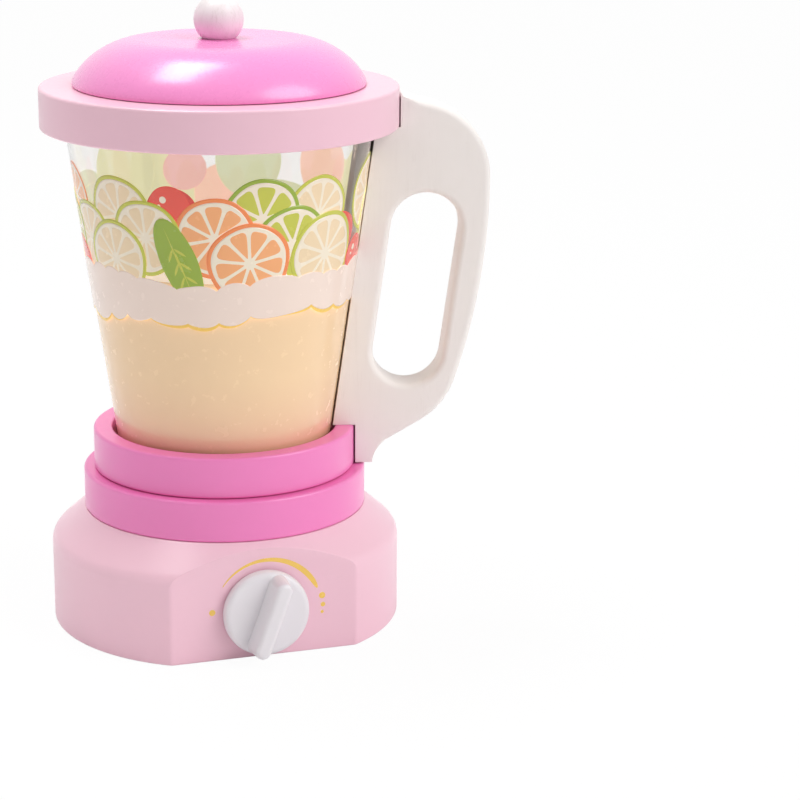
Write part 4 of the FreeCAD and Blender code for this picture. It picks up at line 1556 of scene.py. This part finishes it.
@dataclass
class Jug:
    """The clear wall with its print, the rings round it, the handle and what holds them."""

    turn: float = -13.5
    cone: Cone = field(default_factory=Cone)
    wall: float = 1.0
    rows_of_fruit: int = 3
    fruit_in_row: int = 12
    top_row: float = 161.5
    row_drop: float = 10.5
    lowest_edge: float = 129.5      # no fruit shows below the foam
    rim_bore: float = 47.5
    foot_bore: float = 41.7
    lip: float = 8.0

    def wall_piece(self, bottom: float, top: float) -> bpy.types.Object:
        """The wall: a thin tapered section carried round the axis.

        Args:
            bottom: Height of its foot.
            top: Height of its upper edge.

        Returns:
            The wall.
        """
        heights = np.linspace(bottom, top, 24)
        outer = np.stack([self.cone.radius(heights), heights], axis=-1)
        inner = outer[::-1] - np.array([self.wall, 0.0])
        section = np.concatenate([outer, inner])
        return grid_object("clear_wall", turned_points(section), wrap_rows=True)

    def rim(self, bottom: float, top: float, lip: float) -> bpy.types.Object:
        """The rim: a ring whose bore is wider below the lip, where the wall's edge seats.

        Args:
            bottom: Height of its underside.
            top: Height of its top.
            lip: Height of the lip.

        Returns:
            The rim.
        """
        ledge = top - lip
        corners = [
            (RIM_RADIUS, bottom, 0.8),
            (RIM_RADIUS, top, 1.0),
            (self.rim_bore, top, 0.8),
            (self.rim_bore, ledge, 0.4),
            (self.cone.radius(ledge) + 0.05, ledge, 0.2),
            (self.cone.radius(bottom) + 0.05, bottom, 0.3),
        ]
        section = rounded_path(corners, True)
        return grid_object("painted_rim", turned_points(section), wrap_rows=True)

    def printed(self, shop: Workshop) -> None:
        """Builds and dresses everything printed on the wall.

        Args:
            shop: Where pieces are placed.
        """
        sheet = Print(self.cone)
        count = 720
        angle = np.linspace(0, 2 * np.pi, count, endpoint=False)
        low = sheet.foam_low + sheet.foam_edge(angle, 22, -2.2, 0.7)
        high = sheet.foam_high + sheet.foam_edge(angle, 26, 2.0, 2.1)
        thick = sheet.line_width * (0.5 + 0.5 * np.sin(6 * angle + 1.0))
        above = 2 + FruitPrint.inks * 2 * self.rows_of_fruit
        bottom = np.full(count, sheet.bottom)
        under_foam = np.full(count, sheet.foam_high)
        bands = [
            ("print_drink", bottom, under_foam, 0, "cream_ink", 12),
            ("print_foam", low, high, above + 1, "foam_ink", 4),
            ("print_line", low - thick - 0.05, low + 0.4, above, "yellow_ink", 1),
        ]
        for name, edge_low, edge_high, place, finish, rows in bands:
            shop.print_on(sheet.band(name, edge_low, edge_high, place, rows), Body.JUG, finish)
        for number, fruit in enumerate(self.crowd()):
            for obj, finish in fruit.layers(sheet, number):
                shop.print_on(obj, Body.JUG, finish)

    def crowd(self) -> list[FruitPrint]:
        """The fruit round the jug: staggered rows, their kinds in turn and their places uneven.

        Neighbours in a row lie on two levels, and each row lies over the one above it.

        Returns:
            The fruit.
        """
        order = [
            Fruit.PALE_WHEEL, Fruit.ORANGE_WHEEL, Fruit.LIME_WHEEL, Fruit.BERRY,
            Fruit.PALE_WHEEL, Fruit.LEAF, Fruit.ORANGE_WHEEL, Fruit.PALE_WHEEL,
            Fruit.BERRY, Fruit.LIME_WHEEL, Fruit.PALE_WHEEL,
        ]
        sizes = {
            Fruit.PALE_WHEEL: 14.5, Fruit.ORANGE_WHEEL: 13.5, Fruit.LIME_WHEEL: 13.5,
            Fruit.BERRY: 9.0, Fruit.LEAF: 14.0,
        }
        chooser = np.random.default_rng(11)
        fruit = []
        for row in range(self.rows_of_fruit):
            for i in range(self.fruit_in_row):
                kind = order[(i + row * 4) % len(order)]
                swing, rise, grow, lean = chooser.uniform(-1, 1, 4)
                angle = 360.0 * (i + 0.5 * (row % 2)) / self.fruit_in_row + 4 * swing
                height = self.top_row - self.row_drop * row + 2.5 * rise
                size = sizes[kind] * (1 + 0.1 * grow)
                height = max(height, self.lowest_edge + size)
                fruit.append(FruitPrint(kind, angle, height, size, 2 * row + i % 2, 90 * lean))
        return fruit

    def assemble(self, shop: Workshop) -> None:
        """Builds and dresses the jug's pieces.

        Args:
            shop: Where pieces are placed.
        """
        low, high = shop.height_of("jug_wall")
        wall = self.wall_piece(low, high)
        shop.place(wall, Body.JUG, "clear_sheet", "clear_plastic", ["jug_wall"])
        low, high = shop.height_of("jug_rim")
        shop.place(self.rim(low, high, self.lip), Body.JUG, "pale_pink", "pink_paint", ["jug_rim"])
        low, high = shop.height_of("jug_foot_ring")
        foot = Ring("painted_foot_ring", FOOT_RADIUS, self.foot_bore, low, high)
        shop.place(foot.build(), Body.JUG, "deep_pink", "deep_pink_paint", ["jug_foot_ring"])
        self.printed(shop)
        Handle(self.turn, self.cone).assemble(shop)
        for node, finish in (
            ("jug_floor", "cream_floor"), ("jug_spigot", "bare_wood"),
            ("handle_dowels", "bare_wood"), ("seam_batten", "white_board"),
            ("floor_screws", "steel"), ("handle_screws", "steel"),
        ):
            shop.dress(node, finish)


@dataclass
class Handle:
    """The board handle, drawn in its own plane with the handle along +X."""

    turn: float
    cone: Cone
    bottom: float = 58.6
    top: float = 196.3
    foot_width: float = 6.3
    seat: float = 0.05          # room between the board and what it seats on
    at_foot: float = FOOT_RADIUS + seat
    at_rim: float = RIM_RADIUS + seat
    thickness: float = 16.0
    soft: float = 2.2
    seat_soft: float = 0.1
    throat_radius: float = 10.5
    throat_lean: float = 85.0   # headings and leans in degrees from +X
    heel_run: float = 14.8
    heel_lean: float = 30.0
    heel_radius: float = 28.5
    side_lean: float = 71.3
    bend_radius: float = 28.0
    top_run: float = 12.3
    top_fall: float = 14.0
    opening_places: tuple[float, ...] = (
        139.6, 141.3, 148.6, 155.4, 172.5, 221.9, 244.2, 251.0, 252.8, 255.5, 310.5, 311.8, 314.8
    )                           # mm round the opening, for each part of the outline and its end
    grip_radius: float = 13.0
    grip_low: tuple[float, float] = (68.2, 101.3)
    grip_high: tuple[float, float] = (74.7, 147.6)

    def outline(self) -> tuple[np.ndarray, np.ndarray, np.ndarray]:
        """The board's outline from the foot up the outer side and back down along the jug.

        Arcs run about their centres at an even step, and the long side is a cubic curve whose
        ends leave along the arcs beside it.

        Returns:
            The points, the radius of rounding at each, and where each part starts.
        """
        low, high = self.bottom, self.top
        at_foot, at_rim = self.at_foot, self.at_rim
        foot_out = at_foot + self.foot_width

        def arc(
            centre: Sequence[float], radius: float, start: float, end: float, count: int
        ) -> np.ndarray:
            """Points on an arc, from one angle in degrees to another."""
            angle = np.radians(np.linspace(start, end, count))
            return np.array(centre) + radius * np.stack([np.cos(angle), np.sin(angle)], axis=-1)

        def heading(degrees: float) -> np.ndarray:
            """The unit step along a heading."""
            return np.array([math.cos(math.radians(degrees)), math.sin(math.radians(degrees))])

        foot = np.array([foot_out, low])
        radius = self.throat_radius
        turned = self.heel_lean + 90
        throat_centre = foot + radius * heading(self.throat_lean - 90)
        throat = arc(throat_centre, radius, self.throat_lean + 90, turned, 14)
        heel_start = throat[-1] + self.heel_run * heading(self.heel_lean)
        heel_centre = heel_start + self.heel_radius * heading(turned)
        heel = arc(heel_centre, self.heel_radius, turned - 180, self.side_lean - 90, 16)
        top_end = np.array([at_rim, high]) + self.top_run * heading(-self.top_fall)
        bend_centre = top_end - self.bend_radius * heading(90 - self.top_fall)
        bend = arc(bend_centre, self.bend_radius, 0.0, 90 - self.top_fall, 26)
        way = np.linspace(0, 1, 40)[1:-1, None]
        start, end = heel[-1], bend[0]
        reach = np.linalg.norm(end - start) / 3
        leaving = start + reach * heading(self.side_lean)
        arriving = end - reach * heading(90.0)
        side = (
            (1 - way) ** 3 * start + 3 * way * (1 - way) ** 2 * leaving
            + 3 * way**2 * (1 - way) * arriving + way**3 * end
        )
        over_foot, under_rim = self.cone.low + self.seat, self.cone.high - self.seat
        wall_low = np.array([self.cone.radius_low + self.seat, over_foot])
        wall_high = np.array([self.cone.radius_high + self.seat, under_rim])

        def run(a: Sequence[float], b: Sequence[float], count: int) -> np.ndarray:
            """Even points from a to b, without b."""
            part = np.linspace(0, 1, count, endpoint=False)[:, None]
            return np.array(a) + (np.array(b) - np.array(a)) * part

        free = [
            run((at_foot, low), foot, 8),
            throat,
            run(throat[-1], heel_start, 8)[1:],
            heel,
            side,
            bend,
            run(bend[-1], (at_rim, high), 8)[1:],
        ]
        seated = [
            run((at_rim, high), (at_rim, under_rim), 8),
            run((at_rim, under_rim), wall_high, 5),
            run(wall_high, wall_low, 60),
            run(wall_low, (at_foot, over_foot), 6),
            run((at_foot, over_foot), (at_foot, low), 10),
        ]
        points = np.concatenate(free + seated)
        count = sum(len(part) for part in free)
        soft = np.full(len(points), self.seat_soft)
        soft[:count] = self.soft
        foot_rows = len(free[0])
        rise = np.linspace(0, 1, len(throat))
        soft[:foot_rows] = self.seat_soft
        soft[foot_rows : foot_rows + len(throat)] += (self.seat_soft - self.soft) * (1 - rise**3)
        ramp = np.linspace(1, 0, 5)
        soft[count - 5 : count] = self.seat_soft + (self.soft - self.seat_soft) * ramp
        starts = np.cumsum([0] + [len(part) for part in free + seated[:-1]])
        return points, soft, starts

    @staticmethod
    def normals(points: np.ndarray) -> np.ndarray:
        """Outward unit normals of a closed outline that runs anticlockwise.

        Args:
            points: The outline.

        Returns:
            A normal for each point, square to the line between its neighbours.
        """
        step = np.roll(points, -1, axis=0) - np.roll(points, 1, axis=0)
        normal = np.stack([step[:, 1], -step[:, 0]], axis=-1)
        return normal / np.linalg.norm(normal, axis=1, keepdims=True)

    def opening_rays(
        self, outline: np.ndarray, starts: np.ndarray
    ) -> tuple[np.ndarray, np.ndarray]:
        """For each outline point, a place on the opening's middle line and a way out from it.

        A place on the opening is its distance round it: up the outer side, over the upper cap,
        down the inner side and under the lower cap. Each part of the outline has a place for
        its start, and the places between go evenly with the distance, so none runs backwards.

        Args:
            outline: The board's outline.
            starts: Where each of its parts starts.

        Returns:
            Places on the middle line, and unit steps out from them.
        """
        low, high = np.array(self.grip_low), np.array(self.grip_high)
        length = np.linalg.norm(high - low)
        up = (high - low) / length
        side = np.array([up[1], -up[0]])
        radius = self.grip_radius
        whole = 2 * length + 2 * np.pi * radius
        step = np.linalg.norm(np.roll(outline, -1, axis=0) - outline, axis=1)
        travel = np.concatenate([[0.0], np.cumsum(step)])
        marks = np.append(travel[starts], travel[-1])
        place = np.mod(np.interp(travel[:-1], marks, self.opening_places), whole)
        cap_end = length + np.pi * radius
        regions = [place < length, place < cap_end, place < cap_end + length]
        climb = np.select(regions, [place, length, cap_end + length - place], 0.0)
        lower = np.pi + (place - cap_end - length) / radius
        angle = np.select(regions, [0.0, (place - length) / radius, np.pi], lower)
        middle = low + climb[:, None] * up
        toward = np.cos(angle)[:, None] * side + np.sin(angle)[:, None] * up
        return middle, toward

    def board(self) -> bpy.types.Object:
        """The board: a rounded section carried round the outline and the finger opening.

        Each column joins a point of the outline to its own place round the opening. Its rows
        run over the front face, round the outer edge, over the back face and through the
        opening. The rounding is a quarter circle that moves in by r(1 - cos) as it drops by
        r(1 - sin).

        Returns:
            The board.
        """
        outline, soft, starts = self.outline()
        outward = self.normals(outline)
        middle, toward = self.opening_rays(outline, starts)
        half = self.thickness / 2
        quarter = np.linspace(0, np.pi / 2, 7)
        rows = []

        def outer_row(turn: float, side: float) -> None:
            """Adds a row of the outer edge's rounding on one side.

            Args:
                turn: How far round the quarter circle.
                side: Which face, -1 or 1.
            """
            flat = outline - outward * (soft * (1 - math.sin(turn)))[:, None]
            depth = side * (half - soft * (1 - math.cos(turn)))
            rows.append(np.concatenate([flat, depth[:, None]], axis=1))

        def inner_row(turn: float, side: float) -> None:
            """Adds a row of the opening's rounding on one side.

            Args:
                turn: How far round the quarter circle.
                side: Which face, -1 or 1.
            """
            reach = self.grip_radius + self.soft * (1 - math.sin(turn))
            flat = middle + toward * reach
            depth = np.full((len(flat), 1), side * (half - self.soft * (1 - math.cos(turn))))
            rows.append(np.concatenate([flat, depth], axis=1))

        for side in (-1.0, 1.0):
            order = quarter if side < 0 else quarter[::-1]
            for turn in order:
                outer_row(turn, side)
        face = []
        for side, turns in ((1.0, quarter), (-1.0, quarter[::-1])):
            for turn in turns:
                inner_row(turn, side)
                face.append(len(rows))
        local = np.stack(rows)
        outer = local[: 2 * len(quarter)]
        inner = local[2 * len(quarter) :]
        blend = np.array([0.04, 0.3, 0.6, 0.96])[:, None, None]
        back_face = outer[-1] + (inner[0] - outer[-1]) * blend
        front_face = inner[-1] + (outer[0] - inner[-1]) * blend
        local = np.concatenate([outer, back_face, inner, front_face])
        return grid_object("board_handle", self.to_frame(local), wrap_rows=True)

    def to_frame(self, local: np.ndarray) -> np.ndarray:
        """From the handle's plane (out, up, depth) to the turned jug.

        Args:
            local: An array of places.

        Returns:
            The places in the object's frame.
        """
        lean = math.radians(self.turn)
        out, up, depth = local[..., 0], local[..., 1], local[..., 2]
        x = out * math.cos(lean) - depth * math.sin(lean)
        y = out * math.sin(lean) + depth * math.cos(lean)
        return np.stack([x, y, up], axis=-1)

    def assemble(self, shop: Workshop) -> None:
        """Builds and dresses the handle.

        Args:
            shop: Where pieces are placed.
        """
        shop.place(self.board(), Body.JUG, "white_board", "white_paint", ["handle"])


# Lid


@dataclass
class Lid:
    """The turned crown with its ball."""

    radius: float = 53.0
    edge: float = 1.0
    fall_reach: float = 25.0
    fall_power: float = 1.35
    ball_radius: float = 9.0
    ball_sink: float = 2.3
    rows: int = 40

    def crown(self, bottom: float, top: float) -> bpy.types.Object:
        """The crown: a flat middle that falls to a short upright edge.

        Over the fall, the radius grows by the cosine of an angle and the height by a power of
        its sine.

        Args:
            bottom: Height of its underside.
            top: Height of its top.

        Returns:
            The crown.
        """
        angle = np.linspace(0, np.pi / 2, self.rows)
        rise = top - bottom - self.edge
        across = self.radius - self.fall_reach * (1 - np.cos(angle))
        up = bottom + self.edge + rise * np.sin(angle) ** (2 / self.fall_power)
        curve = np.stack([across, up], axis=-1)
        side = (self.radius, bottom + self.edge, 0.0)
        under = rounded_path([(0.0, bottom, 0.0), (self.radius, bottom, 0.4), side], False)
        inner = curve[-1, 0] * np.array([[0.8], [0.5], [0.2], [0.0]])
        middle = np.concatenate([inner, np.full(inner.shape, top)], axis=1)
        section = np.concatenate([under[:-1], curve, middle])
        return grid_object("painted_crown", turned_points(section))

    def ball(self, top: float) -> bpy.types.Object:
        """The ball: a circle's arc carried round the axis, closed by a flat inside the crown.

        Args:
            top: Height of the crown's top.

        Returns:
            The ball.
        """
        start = math.acos((self.ball_radius - self.ball_sink) / self.ball_radius)
        angle = np.linspace(np.pi - start, 0, 48)
        middle = top - self.ball_sink + self.ball_radius
        across = self.ball_radius * np.sin(angle)
        arc = np.stack([across, middle + self.ball_radius * np.cos(angle)], axis=-1)
        foot = np.array([[0.0, arc[0, 1]]])
        return grid_object("painted_ball", turned_points(np.concatenate([foot, arc]), 96))

    def assemble(self, shop: Workshop) -> None:
        """Builds and dresses the lid's pieces.

        Args:
            shop: Where pieces are placed.
        """
        low, high = shop.height_of("lid_dome")
        shop.place(self.crown(low, high), Body.LID, "hot_pink", "hot_pink_paint", ["lid_dome"])
        shop.place(self.ball(high), Body.LID, "white_ball", "white_paint", ["lid_ball"])
        shop.dress("lid_spigot", "bare_wood")
        shop.dress("lid_screw", "steel")


# Room


@dataclass
class Studio:
    """Pale floor, white surround, plain soft light and the camera."""

    eye: tuple[float, float, float] = (-216.8, -852.5, 325.2)
    heading: float = 18.56      # degrees from +Y towards +X
    pitch: float = 15.5         # degrees down
    roll: float = 0.35
    focal: float = 109.55
    sensor: float = 36.0
    world_level: float = 0.44
    key_level: float = 1.5
    key_softness: float = 40.0  # degrees across
    top_power: float = 6.0
    floor_glow: float = 0.95

    def camera(self) -> None:
        """Makes the camera from its place and its three angles."""
        turn, down, roll = (math.radians(a) for a in (self.heading, self.pitch, self.roll))
        ahead = Vector((
            math.sin(turn) * math.cos(down), math.cos(turn) * math.cos(down), -math.sin(down)
        ))
        level = Vector((math.cos(turn), -math.sin(turn), 0.0))
        upright = level.cross(ahead)
        right = level * math.cos(roll) + upright * math.sin(roll)
        up = right.cross(ahead)
        data = bpy.data.cameras.new("photo_camera")
        data.lens = self.focal
        data.sensor_width = self.sensor
        data.clip_start = 0.01
        camera = bpy.data.objects.new("photo_camera", data)
        bpy.context.scene.collection.objects.link(camera)
        place = Matrix((right, up, -ahead)).transposed().to_4x4()
        place.translation = Vector(self.eye) * MM
        camera.matrix_world = place
        bpy.context.scene.camera = camera

    def world(self) -> None:
        """White to the camera and in reflections, and a plain level for light."""
        world = bpy.data.worlds.new("surround")
        bpy.context.scene.world = world
        world.use_nodes = True
        tree = Tree(world.node_tree)
        path = tree.add("ShaderNodeLightPath")
        seen = path.outputs["Is Camera Ray"]
        for ray in ("Is Transmission Ray", "Is Glossy Ray"):
            seen = tree.math("MAXIMUM", seen, path.outputs[ray])
        level = tree.remap(seen, 0.0, 1.0, self.world_level, 1.0)
        background = world.node_tree.nodes["Background"]
        background.inputs["Color"].default_value = (1.0, 1.0, 1.0, 1.0)
        tree.feed(background.inputs["Strength"], level)

    def floor(self) -> None:
        """A wide white floor that keeps the object's shadow."""
        half = 4000.0
        line = np.linspace(-half, half, 3)
        x, y = np.meshgrid(line, line)
        points = np.stack([x, y, np.full(x.shape, -0.1)], axis=-1).reshape(-1, 3)
        mesh = bpy.data.meshes.new("pale_floor")
        mesh.from_pydata((points * MM).tolist(), [], grid_quads(3, 3, False, False).tolist())
        floor = bpy.data.objects.new("pale_floor", mesh)
        bpy.context.scene.collection.objects.link(floor)
        material, tree, shader, _ = new_material("pale_floor")
        tree.fill(shader, {
            "Base Color": (0.97, 0.97, 0.97), "Roughness": 0.9, "Specular IOR Level": 0.1,
        })
        glow = tree.add("ShaderNodeEmission")
        path = tree.add("ShaderNodeLightPath")
        share = tree.math("MULTIPLY", path.outputs["Is Camera Ray"], self.floor_glow)
        mix_shaders(tree, share, shader, glow)
        mesh.materials.append(material)

    def panel(self, name: str, place: Vector, size: tuple[float, float], power: float) -> None:
        """A rectangular light that faces the object's middle.

        Args:
            name: The light's name.
            place: Where it stands, in metres.
            size: Its two sides in metres.
            power: Its power in watts.
        """
        data = bpy.data.lights.new(name, "AREA")
        data.shape = "RECTANGLE"
        data.size, data.size_y = size
        data.energy = power
        light = bpy.data.objects.new(name, data)
        bpy.context.scene.collection.objects.link(light)
        light.location = place
        light.rotation_euler = (place - Vector((0, 0, 0.12))).to_track_quat("Z", "Y").to_euler()

    def lights(self) -> None:
        """A soft key from the right front, and a panel overhead for the sheen on the crown."""
        sun = bpy.data.lights.new("key", "SUN")
        sun.energy = self.key_level
        sun.angle = math.radians(self.key_softness)
        key = bpy.data.objects.new("key", sun)
        bpy.context.scene.collection.objects.link(key)
        key.rotation_euler = Vector((0.78, -0.62, 0.75)).to_track_quat("Z", "Y").to_euler()
        self.panel("overhead", Vector((-0.20, 0.20, 1.1)), (0.6, 0.3), self.top_power)

    def build(self) -> None:
        """Makes the whole room."""
        self.camera()
        self.world()
        self.floor()
        self.lights()
        bpy.context.scene.view_settings.view_transform = "Standard"
        bpy.context.scene.cycles.caustics_reflective = False
        bpy.context.scene.cycles.caustics_refractive = False


def main() -> None:
    """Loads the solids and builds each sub-assembly in order."""
    logging.basicConfig(level=logging.INFO, format="%(name)s: %(message)s")
    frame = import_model()
    Studio().build()
    shop = Workshop(frame["nodes"], Paintbox())
    for assembly in (Base(), Dial(), Jug(), Lid()):
        log.info("building the %s", type(assembly).__name__.lower())
        assembly.assemble(shop)


if __name__ == "__main__":
    main()
